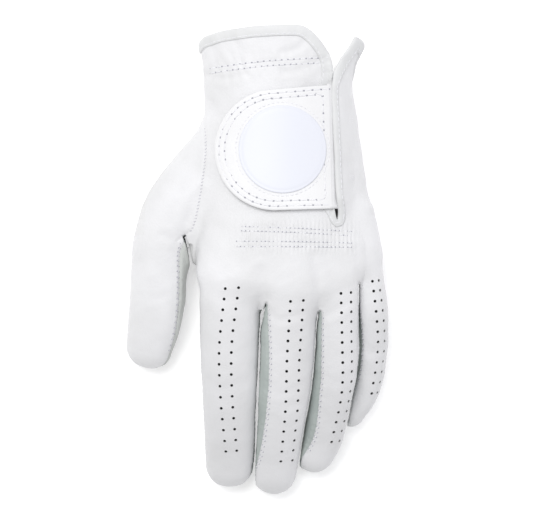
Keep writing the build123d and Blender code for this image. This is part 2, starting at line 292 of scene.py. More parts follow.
# ---------------------------------------------------------------- the surface
class Surface:
    """Points and polygons under construction, each polygon with the body region that it belongs to."""

    def __init__(self):
        self.points = np.zeros((0, 3))
        self.faces = []
        self.regions = []

    def normals(self, faces=None):
        """Area-weighted normals of the points, from all faces or from the given ones."""
        total = np.zeros_like(self.points)
        groups = {}
        for f in self.faces if faces is None else faces:
            groups.setdefault(len(f), []).append(f)
        for group in groups.values():
            g = np.array(group)
            p = self.points[g]
            cross = sum(np.cross(p[:, k] - p[:, 0], p[:, k + 1] - p[:, 0]) for k in range(1, g.shape[1] - 1))
            for k in range(g.shape[1]):
                np.add.at(total, g[:, k], cross)
        return total / np.maximum(np.linalg.norm(total, axis=1), 1e-12)[:, None]


def open_edges(faces):
    """Start and end of each directed edge that has a face on one side only."""
    edges = {(u, v): True for face in faces for u, v in zip(face, face[1:] + face[:1])}
    return {u: v for (u, v) in edges if (v, u) not in edges}


CORNERS = [(i, j, k) for i in (0, 1) for j in (0, 1) for k in (0, 1)]
EDGES = [
    (p, q) for p in range(8) for q in range(p + 1, 8)
    if sum(a != b for a, b in zip(CORNERS[p], CORNERS[q])) == 1
]


def surface_nets(field, low):
    """Points in cells, and quads as rows of four cell indices, where a sampled field changes sign."""
    inside = field < 0
    shape = np.array(field.shape) - 1
    corner = [field[i : i + shape[0], j : j + shape[1], k : k + shape[2]] for i, j, k in CORNERS]
    mixed = np.zeros(shape, bool)
    for c in corner[1:]:
        mixed |= (c < 0) != (corner[0] < 0)
    cells = np.argwhere(mixed)
    values = np.stack([c[mixed] for c in corner], 1)
    total, count = np.zeros((len(cells), 3)), np.zeros(len(cells))
    for p, q in EDGES:
        u, v = values[:, p], values[:, q]
        crossing = (u < 0) != (v < 0)
        t = np.where(crossing, u / np.where(crossing, u - v, 1), 0)
        spot = np.array(CORNERS[p]) + t[:, None] * (np.array(CORNERS[q]) - np.array(CORNERS[p]))
        total += spot * crossing[:, None]
        count += crossing
    points = (cells + total / count[:, None]) * STEP + low
    quads = []
    for axis in range(3):
        other = [d for d in range(3) if d != axis]
        ahead = np.roll(inside, -1, axis)
        change = inside != ahead
        cut = [slice(1, None)] * 3
        cut[axis] = slice(0, -1)
        mask = np.zeros_like(change)
        mask[tuple(cut)] = change[tuple(cut)]
        spots = np.argwhere(mask)
        spots = spots[(spots < shape).all(1)]
        e, f = np.zeros(3, int), np.zeros(3, int)
        e[other[0]], f[other[1]] = 1, 1
        ring = np.stack([spots, spots - e, spots - e - f, spots - f], 1)
        outward = inside[tuple(spots.T)] ^ (axis == 1)
        ring[~outward] = ring[~outward][:, ::-1]
        quads.append(ring)
    return points, cells, np.concatenate(quads)


BLOCK = 4                                   # samples along a block of the first, coarse pass
BLOCK_REACH = 0.87 * BLOCK * STEP + 3.0     # half a block's diagonal, and room for the fields' own error


def grid(low, high):
    axes = []
    for l, h in zip(low, high):
        axes.append(l + STEP * np.arange(BLOCK * math.ceil((h - l) / STEP / BLOCK + 1)))
    x, y, z = np.meshgrid(*axes, indexing="ij")
    return np.stack([x.ravel(), y.ravel(), z.ravel()], 1), x.shape


def near_blocks(shape, fields, middles):
    """The samples in blocks that may hold a field's surface, and each field's sign, block by block."""
    coarse = [f(middles) for f in fields]
    near = np.abs(np.stack(coarse)).min(0) < BLOCK_REACH
    blocks = [n // BLOCK for n in shape]

    def spread(values):
        values = values.reshape(blocks)
        for axis in range(3):
            values = np.repeat(values, BLOCK, axis)
        return values.ravel()

    return spread(near), [np.where(spread(c) < 0, -9.0, 9.0) for c in coarse]


GRID_LOW = np.array([-67.3, -115.7, -2.1])
GRID_HIGH = np.array([67.0, 123.0, 46.0])
DIGIT_REACH = np.array([18.0, 14.0, 16.0])  # half sizes of the room that a digit takes round its centreline


def project(points, field_of):
    """Moves points onto the field's surface."""
    h = 0.15                                # step for the slope
    for _ in range(2):
        d = field_of(points)
        slope = np.stack([(field_of(points + h * np.eye(3)[k]) - d) / h for k in range(3)], 1)
        size = np.maximum((slope**2).sum(1), 0.2)
        points = points - np.clip(d / size, -0.6, 0.6)[:, None] * slope
    return points


def build_surface():
    """The whole skin: the hand as far as each digit's first row, and each digit from that row on."""
    surface = Surface()
    spots, shape = grid(GRID_LOW, GRID_HIGH)
    rows = {n: int(round((CUTS[n] - GRID_LOW[1]) / STEP)) for n in DIGITS}
    lattice = spots.reshape(shape + (3,))[::BLOCK, ::BLOCK, ::BLOCK].reshape(-1, 3)
    middles = lattice + STEP * (BLOCK - 1) / 2
    fields = [lambda p: parted(hand_field(p), p)]
    fields += [lambda p, n=name: digit_field(n, p) for name in DIGITS]
    near, filled = near_blocks(shape, fields, middles)
    band = spots[near]
    y_rows = np.round((band[:, 1] - GRID_LOW[1]) / STEP).astype(int)
    palm = hand_field(band)
    base = parted(palm, band)
    joined = np.min(filled, 0)
    own = {name: np.minimum(filled[0], signs) for name, signs in zip(DIGITS, filled[1:])}
    joined_band = base.copy()
    for name, line in LINES.items():
        box_low, box_high = line.centre.min(0) - DIGIT_REACH, line.centre.max(0) + DIGIT_REACH
        close = ((band > box_low) & (band < box_high)).all(1)
        full = base.copy()
        full[close] = np.minimum(base[close], with_digit(name, band[close], palm[close]))
        own[name][near] = full
        active = y_rows >= rows[name]
        joined_band[active] = np.minimum(joined_band[active], full[active])
    joined[near] = joined_band
    made = {}                               # (region, cell) to (index, point, name)

    def add(name, points, cells, quads):
        """Adds quads, sharing the points of the cells where a digit meets the hand."""
        index = {tuple(c): i for i, c in enumerate(cells)}
        for ring in quads:
            face = []
            for cell in map(tuple, ring):
                key = ("hand" if name == "hand" or cell[1] >= rows[name] else name, cell)
                if key not in made:
                    made[key] = (len(made), points[index[cell]], name)
                face.append(made[key][0])
            surface.faces.append(face)
            surface.regions.append(name)

    for name in DIGITS:
        points, cells, quads = surface_nets(own[name].reshape(shape), GRID_LOW)
        row, middle = quads[:, :, 1], quads.mean(1) * STEP + GRID_LOW + STEP / 2
        beyond = (row.min(1) < rows[name]) & (row.max(1) <= rows[name])
        add(name, points, cells, quads[beyond & in_reach(name, middle)])
    points, cells, quads = surface_nets(joined.reshape(shape), GRID_LOW)
    row, middle = quads[:, :, 1], quads.mean(1) * STEP + GRID_LOW + STEP / 2
    keep = np.ones(len(quads), bool)
    for name in DIGITS:
        keep &= ~((row.min(1) < rows[name]) & in_reach(name, middle))
    add("hand", points, cells, quads[keep])
    surface.points = np.array([point for _, point, _ in made.values()])
    owner = np.array([name for _, _, name in made.values()])
    skins = {name: lambda p, n=name: with_digit(n, p, hand_field(p)) for name in DIGITS}
    skins["hand"] = glove_field
    for name, field in skins.items():
        mine = owner == name
        surface.points[mine] = project(surface.points[mine], field)
    return surface


def in_reach(name, points):
    """Whether points lie between the gaps on the two sides of a digit, seen from above."""
    ok = np.ones(len(points), bool)
    for pair, stations in CROTCHES.items():
        ys, xs = zip(*stations)
        centre = hermite(points[:, 1], ys, xs)
        if pair[0] == name:
            ok &= points[:, 0] < centre
        elif pair[1] == name:
            ok &= points[:, 0] > centre
    return ok


# ---------------------------------------------------------------- cutting the surface
SNAP = 0.12 * STEP                          # a point this near to a cut counts as on it


def clip(surface, value, usable=None, drop=False):
    """Cuts the polygons along the line where value is zero. With drop, the side above zero goes."""
    value = np.where(np.abs(value) < SNAP, 0.0, value)
    usable = np.ones(len(value), bool) if usable is None else usable
    sign = np.sign(value).astype(int).tolist()
    usable = usable.tolist()
    points, made = [], {}
    count = len(surface.points)
    faces, regions = [], []
    for face, region in zip(surface.faces, surface.regions):
        signs = [sign[i] for i in face]
        low, high = min(signs), max(signs)
        if low * high >= 0 or not all(usable[i] for i in face):
            if not (drop and high > 0 and low >= 0):
                faces.append(face)
                regions.append(region)
            continue
        ring = []
        for k, i in enumerate(face):
            j = face[(k + 1) % len(face)]
            ring.append((i, sign[i]))
            if sign[i] * sign[j] < 0:
                key = (min(i, j), max(i, j))
                if key not in made:
                    t = value[key[0]] / (value[key[0]] - value[key[1]])
                    made[key] = count + len(points)
                    points.append(surface.points[key[0]] * (1 - t) + surface.points[key[1]] * t)
                ring.append((made[key], 0))
        for side in (-1,) if drop else (-1, 1):
            part = [i for i, s in ring if s * side >= 0]
            if len(part) >= 3:
                faces.append(part)
                regions.append(region)
    if points:
        surface.points = np.concatenate([surface.points, np.array(points)])
    surface.faces, surface.regions = faces, regions


def plan_distance(points, outline, closed=True):
    """Signed distance in plan from an outline, negative inside it; or plain distance from an open line."""
    p = points[:, :2]
    q = np.asarray(outline, float)
    ends = np.roll(q, -1, 0) if closed else q[1:]
    starts = q if closed else q[:-1]
    best = np.full(len(p), 1e9)
    inside = np.zeros(len(p), bool)
    for u, v in zip(starts, ends):
        d = v - u
        t = np.clip(((p - u) @ d) / (d @ d), 0, 1)
        best = np.minimum(best, np.linalg.norm(p - u - t[:, None] * d, axis=1))
        if closed:
            spans = (u[1] > p[:, 1]) != (v[1] > p[:, 1])
            rise = np.where(np.abs(d[1]) < 1e-9, 1e-9, d[1])
            inside ^= spans & (p[:, 0] < u[0] + (p[:, 1] - u[1]) * d[0] / rise)
    return np.where(inside, -best, best) if closed else best


def rounded(outline, radius, steps=5):
    """An open line with its corners rounded."""
    q = np.asarray(outline, float)
    made = [q[0]]
    for before, corner, after in zip(q[:-2], q[1:-1], q[2:]):
        u, v = before - corner, after - corner
        reach = min(radius, 0.45 * np.linalg.norm(u), 0.45 * np.linalg.norm(v))
        start, end = corner + u / np.linalg.norm(u) * reach, corner + v / np.linalg.norm(v) * reach
        for t in np.linspace(0, 1, steps):
            made.append((1 - t) ** 2 * start + 2 * t * (1 - t) * corner + t * t * end)
    return np.array(made + [q[-1]])


def spaced(line, pitch):
    """Points along a line at an even pitch."""
    line = np.asarray(line, float)
    at = np.concatenate([[0], np.cumsum(np.linalg.norm(np.diff(line, axis=0), axis=1))])
    t = np.linspace(0, at[-1], max(2, int(round(at[-1] / pitch)) + 1))
    return np.stack([np.interp(t, at, line[:, k]) for k in range(line.shape[1])], 1)


# The cuff's edge and the slit, seen from above.
CUFF_BACK = [
    (-50, 103.0), (-28.2, 104.8), (-25.8, 106.9), (-16.8, 109.3), (-2.6, 111.0), (10, 111.7),
    (18, 111.8), (38, 110.4), (46, 107.4), (49, 106.2), (51.2, 104.2), (54, 99),
]
CUFF_PALM = [
    (-50, 103.0), (-28.2, 104.8), (-20, 104.6), (-8, 101.0), (14, 91.5), (32, 85.0), (40, 84.0),
    (47, 86.0), (54, 89),
]
SLIT_THUMB = [
    (10.0, 125), (18.0, 112.6), (23.6, 110.4), (27.8, 106.6), (31.0, 102.8), (33.5, 98.6),
    (34.8, 94.0), (34.2, 88.5), (32.9, 83), (32.6, 76), (32.8, 40), (34.4, 27),
]
SLIT_FOOT = (38.2, 17.4)
SLIT_LITTLE = [
    (38.7, 23.0), (36.6, 30), (35.4, 58), (34.2, 83), (35.5, 90.3), (38.6, 95.2), (42.1, 99.6),
    (45.2, 103.4), (46.6, 106.4), (48, 125),
]
SLIT_ROUND = 3.5
SLIT = np.concatenate([
    rounded(SLIT_THUMB + [SLIT_FOOT], SLIT_ROUND), rounded([SLIT_FOOT] + SLIT_LITTLE, SLIT_ROUND)[1:],
])
FLAP_LIFT = 3.3                             # how far the flap's edge stands on the tab's strap


def strap_line(y):
    """The X of the tab's right end at a given Y."""
    return 34.3 + (85.0 - y) * 0.0263


def flap_rise(points):
    """How far the flap's edge is lifted by the strap that is sewn under it."""
    s = points[:, 0] - strap_line(points[:, 1])
    along = smoothstep(points[:, 1], 19.0, 30.0) * (1 - 0.6 * smoothstep(points[:, 1], 84.0, 96.0))
    across = smoothstep(s, -0.9, -0.3) * (1 - smoothstep(s, 2.4, 11.5))
    return FLAP_LIFT * along * across * (points[:, 2] > 18)


THUMB_SEAM = [
    (-26.4, 78), (-26.0, 68), (-24.6, 56), (-25.2, 46), (-27.6, 30), (-30.6, 17), (-34.6, 12.6), (-38, 10),
]
THUMB_SEAM_LINE = hermite(np.linspace(0, 7, 50), range(8), THUMB_SEAM)
SIDE_LEAN = 4.0                             # slope in degrees of the line between back and palm


def parting(points):
    """Height above the line where back and palm part, round the side of the hand."""
    centre = hermite(points[:, 1], [s[0] for s in HAND], [s[1:3] for s in HAND])
    return points[:, 2] - centre[:, 1] + math.tan(math.radians(SIDE_LEAN)) * (points[:, 0] - centre[:, 0])


def cuff_height(points):
    """How far a point lies beyond the cuff's edge."""
    back = np.interp(points[:, 0], *zip(*CUFF_BACK))
    palm = np.interp(points[:, 0], *zip(*CUFF_PALM))
    under_flap = smoothstep(points[:, 0], 36.0, 44.0)
    mix = smoothstep(parting(points), -1.5 - 6.0 * under_flap, 1.5 + 4.0 * under_flap)
    return points[:, 1] - (palm + (back - palm) * mix)


# Seams round each digit: a name, and the angle from the top at stations along Y.
SEAMS = {
    "thumb": [("back", [(9, 43), (-18, 50), (-33, 56), (-43, 62)]), ("palm", [(9, 118), (-43, 112)]),
              ("outer", [(9, -100), (-43, -95)])],
    "index": [("back", [(-22, 80), (-60, 78), (-99, 72)]), ("palm", [(-22, 125), (-99, 118)]),
              ("outer", [(-22, -104), (-99, -96)])],
    "middle": [("back_left", [(-22, -44), (-34, -38), (-66, -32), (-80, -35), (-88, -39), (-95, -48),
                              (-101, -64), (-107, -84)]),
               ("back", [(-22, 76), (-60, 80), (-103, 78)]), ("palm_left", [(-22, -118), (-103, -116)]),
               ("palm", [(-22, 125), (-103, 120)])],
    "ring": [("back_left", [(-20, -47), (-42, -41), (-59, -34), (-81, -24), (-92, -29), (-98, -45)]),
             ("back", [(-10, 92), (-95, 96)]), ("palm_left", [(-20, -118), (-95, -116)]),
             ("palm", [(-10, 132), (-95, 128)])],
    "little": [("back_left", [(-9, -62), (-42, -50), (-57, -47), (-74, -50)]),
               ("outer", [(-9, 104), (-74, 100)]), ("palm_left", [(-9, -120), (-74, -116)])],
}
SEAM_STARTS = {"thumb": 13.0, "index": -19.0, "middle": -20.0, "ring": -9.0, "little": -9.0}


def seam_starts(name, side):
    """The Y at which a seam leaves its crotch."""
    if side == "outer":
        return CUTS[name] + 0.5 * STEP
    left = {"middle": -19.0, "ring": -23.0}
    right = {"thumb": 12.5, "index": -19.0, "middle": -23.0, "ring": -9.5, "little": -9.5}
    return left[name] if side.endswith("left") and name in left else right[name]


def seam_offset(name, stations, points):
    """Distance round a digit, in mm, from a seam: positive towards the little finger."""
    ys, angles = zip(*stations)
    wanted = hermite(points[:, 1], ys, angles)
    angle, radius = LINES[name].angle(points)
    turn = (angle - wanted + 180) % 360 - 180
    return np.radians(turn) * radius


SEAM_REACH, ROOT_SEAM_REACH = 5.0, 6.0      # only polygons this near to a seam are cut by it
SPLIT_REACH = 6.0                           # and by a stall's dividing plane


def cut_panels(surface):
    """Cuts the surface to the cuff and the slit, and along every seam."""
    clip(surface, cuff_height(surface.points), drop=True)
    top = parting(surface.points) > 0
    clip(surface, np.where(top, -plan_distance(surface.points, SLIT), -9.0), drop=True)
    side = parting(surface.points)
    in_palm = surface.points[:, 1] > -15
    clip(surface, side, in_palm & (np.abs(side) < SEAM_REACH))
    where = surface.points
    distance = plan_distance(where, THUMB_SEAM_LINE, closed=False)
    signed = distance * np.where(beyond_thumb_seam(where), -1, 1)
    clip(surface, signed, beside_root(where) & (distance < ROOT_SEAM_REACH))
    for name, seams in SEAMS.items():
        for side_name, stations in seams:
            where = surface.points
            offset = seam_offset(name, stations, where)
            near = in_reach(name, where) & (where[:, 1] < seam_starts(name, side_name) + 1.5 * STEP)
            clip(surface, offset, near & (np.abs(offset) < SEAM_REACH))


def beside_root(points):
    """Whether points lie in the length of the hand that holds the thumb's root."""
    return (points[:, 1] > 9) & (points[:, 1] < 76)


def beyond_thumb_seam(points):
    """Whether points lie on the thumb's side of its seam."""
    xs = hermite(points[:, 1], [p[1] for p in THUMB_SEAM], [p[0] for p in THUMB_SEAM])
    return points[:, 0] < xs


def panel_names(surface):
    """The panel of each face: back, palm, thumb_root, or a digit's back, palm or strip."""
    middles = np.array([surface.points[f].mean(0) for f in surface.faces])
    names = np.where(parting(middles) > 0, "back", "palm").astype("U24")
    root = beyond_thumb_seam(middles) & beside_root(middles) & (middles[:, 0] < -20)
    names[root] = np.where(parting(middles[root]) > 0, "thumb_root_back", "thumb_root_palm")
    for name, seams in SEAMS.items():
        seams = dict(seams)
        mine = in_reach(name, middles) & (middles[:, 1] < SEAM_STARTS[name])
        spots = middles[mine]
        offset = {k: seam_offset(name, v, spots) for k, v in seams.items()}
        label = np.full(len(spots), "back", "U24")
        angle, _ = LINES[name].angle(spots)
        right, left = angle > 0, angle <= 0
        if "back" in seams:
            label[right & (offset["back"] > 0)] = "strip_right"
            label[right & (offset["palm"] > 0)] = "palm"
        if "back_left" in seams:
            label[left & (offset["back_left"] < 0)] = "strip_left"
            label[left & (offset["palm_left"] < 0)] = "palm"
        if "outer" in seams:
            outer, sign = (left, -1) if name in ("thumb", "index") else (right, 1)
            label[outer & (offset["outer"] * sign > 0)] = "palm"
        for side in ("left", "right"):
            early = spots[:, 1] > seam_starts(name, "back_left" if side == "left" else "back")
            label[(label == f"strip_{side}") & early] = "back"
        names[mine] = label
    return names.tolist()


# ---------------------------------------------------------------- perforations
# Each finger's two columns of holes: rows, (y, x) stations of their middle, and the gap at both ends.
COLUMNS = {
    "index": (16, [(-12.4, -12.0), (-42.0, -15.2), (-66.0, -14.6), (-90.4, -12.5)], (6.3, 5.2)),
    "middle": (17, [(-18.4, 18.7), (-45.0, 17.0), (-70.0, 16.2), (-95.3, 14.0)], (6.1, 5.6)),
    "ring": (16, [(-14.7, 42.0), (-38.0, 42.4), (-62.0, 42.2), (-86.0, 37.4)], (4.8, 3.8)),
    "little": (12, [(-9.0, 56.4), (-25.0, 58.4), (-42.0, 59.4), (-63.0, 56.6)], (3.2, 3.4)),
}
HOLE_RADIUS = 0.72
HOLE_SIDES = 12


def top_point(x, y, field_of, z=44.0):
    """The highest point of a field's surface over (x, y), and its normal."""
    spot = np.array([[x, y, z]], float)
    for _ in range(40):
        d = field_of(spot)[0]
        spot[0, 2] -= max(min(d, 3.0), -3.0) * 0.9
        if abs(d) < 0.01:
            break
    d = field_of(spot)[0]
    slope = np.array([(field_of(spot + 0.1 * np.eye(3)[k])[0] - d) for k in range(3)])
    return spot[0], slope / np.linalg.norm(slope)


def steady_top(x, y, field_of):
    """A point on top, moved away from the side while its skin is too steep for a hole."""
    spot, normal = top_point(x, y, field_of)
    for _ in range(12):
        if normal[2] > 0.5:
            break
        x -= 0.35 * np.sign(normal[0])
        spot, normal = top_point(x, y, field_of)
    return spot, normal


def hole_spots(name):
    """The plan positions of a finger's holes."""
    rows, stations, (first, last) = COLUMNS[name]
    ys, xs = zip(*stations)
    made = []
    for k in range(rows):
        y = ys[0] + (ys[-1] - ys[0]) * (k / (rows - 1)) ** 1.02
        middle = hermite(np.array([y]), ys, xs)[0]
        spacing = first + (last - first) * k / (rows - 1)
        made += [(middle - spacing / 2, y - 0.2), (middle + spacing / 2, y + 0.2)]
    return made


def turns(angles):
    """The change from each angle to the next one round a loop, between minus and plus half a turn."""
    return [((b - a + math.pi) % (2 * math.pi)) - math.pi for a, b in zip(angles, angles[1:] + angles[:1])]


def punch(surface, names, spot, normal):
    """Opens one round hole: the faces near it go, and triangles join their rim to the hole's own ring."""
    near = []
    for _, i, _ in TREE.find_range(Vector(spot), 1.25 * STEP + 0.35):
        gap = surface.points[i] - spot
        if np.linalg.norm(gap - (gap @ normal) * normal) < HOLE_RADIUS + 0.42 * STEP:
            near.append(i)
    gone = {f for i in near for f in AROUND.get(i, ()) if surface.faces[f] is not None}
    if not gone:
        return
    rim = open_edges([surface.faces[f] for f in gone])
    start = next(iter(rim))
    loop, here = [start], rim[start]
    while here != start and len(loop) < len(rim):
        loop.append(here)
        here = rim[here]
    if here != start or len(loop) != len(rim):
        return
    aside = np.cross(normal, (0.0, 1.0, 0.0))
    aside /= np.linalg.norm(aside)
    ahead = np.cross(normal, aside)
    turn = [math.atan2((surface.points[i] - spot) @ ahead, (surface.points[i] - spot) @ aside) for i in loop]
    steps = turns(turn)
    way = 1 if sum(steps) > 0 else -1
    count, first = HOLE_SIDES, len(surface.points)
    ring_turn = [turn[0] + way * 2 * math.pi * k / count for k in range(count)]
    ring = [spot + HOLE_RADIUS * (math.cos(a) * aside + math.sin(a) * ahead) for a in ring_turn]
    surface.points = np.concatenate([surface.points, np.array(ring)])
    regions = [surface.regions[f] for f in gone]
    label = names[next(iter(gone))]
    for f in gone:
        surface.faces[f] = None
    digits = sorted(set(regions) - {"hand"})
    far = np.concatenate([[0.0], np.cumsum(np.array(steps) * way)])
    i = k = 0
    while i < len(loop) or k < count:
        next_loop = far[i + 1] if i < len(loop) else math.inf
        next_ring = 2 * math.pi * (k + 1) / count if k < count else math.inf
        a, b = loop[i % len(loop)], first + k % count
        if next_loop <= next_ring:
            face = [a, loop[(i + 1) % len(loop)], b]
            i += 1
        else:
            face = [a, first + (k + 1) % count, b]
            k += 1
        owner = regions[0]
        if len(set(regions)) > 1:
            owner = "hand" if surface.points[face].mean(0)[1] > spot[1] else digits[0]
        surface.faces.append(face)
        surface.regions.append(owner)
        names.append(label)


# ---------------------------------------------------------------- relief: gathers, creases, seams
RNG = np.random.default_rng(11)
WAVE_COUNT = 28
WAVES = unit(RNG.normal(size=(WAVE_COUNT, 3)))
PHASES = RNG.uniform(0, 2 * math.pi, WAVE_COUNT)


def ripple(points, wavelength, first=0, count=9):
    """Smooth noise of about unit size."""
    chosen = WAVES[first : first + count]
    scales = np.linspace(0.7, 1.5, count)[:, None] * 2 * math.pi / wavelength
    return np.sin(points @ (chosen * scales).T + PHASES[first : first + count]).sum(1) / math.sqrt(count / 2)


# Soft creases on the back, as (line in plan, depth, half width).
CREASES = [
    ([(-22, 104), (-19, 97), (-21, 90)], 0.40, 2.0), ([(-12, 106), (-7, 100), (-8, 95)], 0.22, 1.8),
    ([(24, 106), (19, 101), (12, 99)], 0.30, 1.8), ([(30, 96), (20, 91), (12, 90)], 0.28, 1.8),
    ([(-25, 89), (-16, 87), (-6, 89)], 0.28, 1.8), ([(-26, 80), (-22, 76), (-20, 70)], 0.30, 2.2),
    ([(-33, 20), (-30, 27), (-27, 33)], 0.28, 2.4), ([(-35, 34), (-31, 42), (-29, 52)], 0.22, 2.6),
    ([(41, 97), (45, 90), (46, 82)], 0.35, 2.0), ([(44, 74), (49, 66), (50, 56)], 0.25, 2.6),
    ([(42, 30), (50, 24), (56, 22)], 0.20, 2.4), ([(27, 2), (28, -10), (29, -22)], 0.30, 2.2),
    ([(46, 6), (48, -1), (48.5, -9)], 0.30, 2.0), ([(1, -4), (3, -12), (4, -18)], 0.30, 2.2),
    ([(4, -22), (10, -27), (20, -25)], 0.25, 2.0), ([(30, -26), (36, -24), (43, -19)], 0.28, 2.0),
    ([(-46, 13), (-40, 11), (-36, 12.5)], 0.22, 2.2), ([(-57, -16), (-50, -18), (-43, -16)], 0.12, 2.4),
    ([(-24, -56), (-14, -59), (-4, -56)], 0.14, 2.6), ([(3, -58), (12, -62), (22, -58)], 0.16, 2.6),
    ([(28, -54), (37, -57), (44, -53)], 0.16, 2.4), ([(50, -40), (56, -43), (61, -40)], 0.14, 2.2),
    ([(4, -66), (12, -69), (20, -67)], 0.12, 2.2), ([(-24, -88), (-14, -91), (-4, -88)], 0.12, 2.6),
]
# Lines of stitches over the elastics, in plan.
KNUCKLE_ROWS = [
    [(-6.5, 16.7), (20, 15.9), (43.7, 14.5)], [(-6.5, 14.7), (20, 13.9), (43.7, 12.5)],
    [(-8.9, 9.8), (20, 9.6), (43.7, 9.0)], [(-8.9, 7.3), (20, 7.2), (43.7, 7.0)],
]
WRIST_ROWS = [[(-24, 92.2), (4, 95.2), (33, 97.0)], [(-24, 89.9), (4, 92.9), (33.6, 94.7)]]


CREASE_REACH = 9.0                          # a crease is gone this far outside its line's box


def relief(points, normals):
    """How far the leather stands out from its smooth shape."""
    height = flap_rise(points) + 0.16 * ripple(points, 34) + 0.06 * ripple(points, 13, 9)
    height += 0.02 * ripple(points, 5, 18)
    top = smoothstep(normals[:, 2], -0.1, 0.4)
    for rows, wave, depth, reach in ((KNUCKLE_ROWS, 2.2, 0.16, 4.5), (WRIST_ROWS, 4.6, 0.16, 6.0)):
        near = np.min([plan_distance(points, row, closed=False) for row in rows], 0)
        near_row = np.exp(-((near / reach) ** 2)) * top
        across = points[:, 0] + 0.35 * points[:, 1] + 0.7 * ripple(points, 13, 4, 5)
        height += near_row * depth * (np.sin(2 * math.pi * across / wave) - 0.3)
        height -= 0.14 * np.exp(-((near / 0.6) ** 2)) * top
    for line, depth, width in CREASES:
        line = np.asarray(line, float)
        box = (points[:, :2] > line.min(0) - CREASE_REACH) & (points[:, :2] < line.max(0) + CREASE_REACH)
        box = box.all(1) & (top > 0)
        if box.any():
            curve = hermite(np.linspace(0, len(line) - 1, 12), range(len(line)), line)
            d = plan_distance(points[box], curve, closed=False) / width
            height[box] += top[box] * depth * (0.45 * np.exp(-((d - 1.7) ** 2)) - np.exp(-(d**2)))
    return height


def seam_relief(points):
    """The groove and the puckers along the seams."""
    nearest = np.full(len(points), FAR)
    for name, seams in SEAMS.items():
        mine = in_reach(name, points) & (points[:, 1] < CUTS[name] + 16)
        spots = points[mine]
        for side, stations in seams:
            past = np.maximum(spots[:, 1] - seam_starts(name, side), 0)
            d = np.abs(seam_offset(name, stations, spots)) + 2 * past
            nearest[mine] = np.minimum(nearest[mine], d)
    root = beside_root(points) & (points[:, 0] < -15)
    nearest[root] = np.minimum(nearest[root], plan_distance(points[root], THUMB_SEAM_LINE, closed=False))
    calm = np.where(root, 0.6, 1.0)
    groove = np.exp(-((nearest / 0.65) ** 2))
    swell = np.exp(-(((nearest - 1.6) / 1.0) ** 2))
    along = points[:, 1] + 0.8 * ripple(points, 9, 3, 5)
    pucker = np.sin(2 * math.pi * along / 2.6) * np.exp(-(((nearest - 1.2) / 1.6) ** 2))
    return calm * (0.13 * swell - 0.40 * groove) + calm**2 * 0.09 * pucker


# ---------------------------------------------------------------- laying things on the skin
TOP_GRID = 1.0
TOP_XS = np.arange(-66.0, 68.0, TOP_GRID)
TOP_YS = np.arange(-36.0, 126.0, TOP_GRID)


def top_heights():
    """The height of the smooth skin over a plan grid, from above."""
    x, y = np.meshgrid(TOP_XS, TOP_YS, indexing="ij")
    low = np.full(x.size, 4.0)
    high = np.full(x.size, 48.0)
    for _ in range(16):
        middle = (low + high) / 2
        outside = glove_field(np.stack([x.ravel(), y.ravel(), middle], 1)) > 0
        high = np.where(outside, middle, high)
        low = np.where(outside, low, middle)
    z = ((low + high) / 2).reshape(x.shape)
    for _ in range(2):
        padded = np.pad(z, 1, mode="edge")
        z = (padded[:-2, 1:-1] + padded[2:, 1:-1] + padded[1:-1, :-2] + padded[1:-1, 2:] + 4 * z) / 8
    return z


TOP = top_heights()
TOP_SLOPES = np.gradient(TOP, TOP_GRID)


def from_map(table, xy):
    """Values of a plan grid between its samples."""
    u = np.clip((xy[:, 0] - TOP_XS[0]) / TOP_GRID, 0, len(TOP_XS) - 1.001)
    v = np.clip((xy[:, 1] - TOP_YS[0]) / TOP_GRID, 0, len(TOP_YS) - 1.001)
    i, j = u.astype(int), v.astype(int)
    u, v = u - i, v - j
    near = table[i, j] * (1 - u) + table[i + 1, j] * u
    beyond = table[i, j + 1] * (1 - u) + table[i + 1, j + 1] * u
    return near * (1 - v) + beyond * v


def lay(xy, offset=0.0, textured=False):
    """Points over the given places in plan, a given distance off the skin, and the skin's normals there."""
    xy = np.asarray(xy, float)[:, :2]
    normals = unit(np.stack([-from_map(s, xy) for s in TOP_SLOPES] + [np.ones(len(xy))], 1))
    skin = np.column_stack([xy, from_map(TOP, xy)])
    if textured:
        offset = offset + relief(skin, normals) + seam_relief(skin)
    z = skin[:, 2] + offset / np.maximum(normals[:, 2], 0.45)
    return np.column_stack([xy, z]), normals


def around(name, ys, angles):
    """Points round a digit, on its skin with its relief, at the given Ys and angles; and normals."""
    line = LINES[name]
    ys, angles = np.asarray(ys, float), np.radians(np.asarray(angles, float))
    t = np.interp(-ys, -line.centre[:, 1], line.t)
    centre, side, up = (line.at(f, t) for f in (line.centre, line.side, line.up))
    a, b = line.at(line.a, t), line.at(line.b, t)
    ray = unit(side * (np.sin(angles) * a)[:, None] + up * (np.cos(angles) * b)[:, None])
    low, high = np.zeros(len(ys)), np.full(len(ys), 19.0)
    for _ in range(14):
        middle = (low + high) / 2
        spots = centre + ray * middle[:, None]
        outside = smooth_max(oval_of(name, spots), -spots[:, 2], EDGE_ROUND) > 0
        high = np.where(outside, middle, high)
        low = np.where(outside, low, middle)
    spots = centre + ray * high[:, None]
    d = oval_of(name, spots)
    normals = unit(np.stack([oval_of(name, spots + 0.1 * np.eye(3)[k]) - d for k in range(3)], 1))
    lift = relief(spots, normals) + seam_relief(spots)
    return spots + normals * lift[:, None], normals


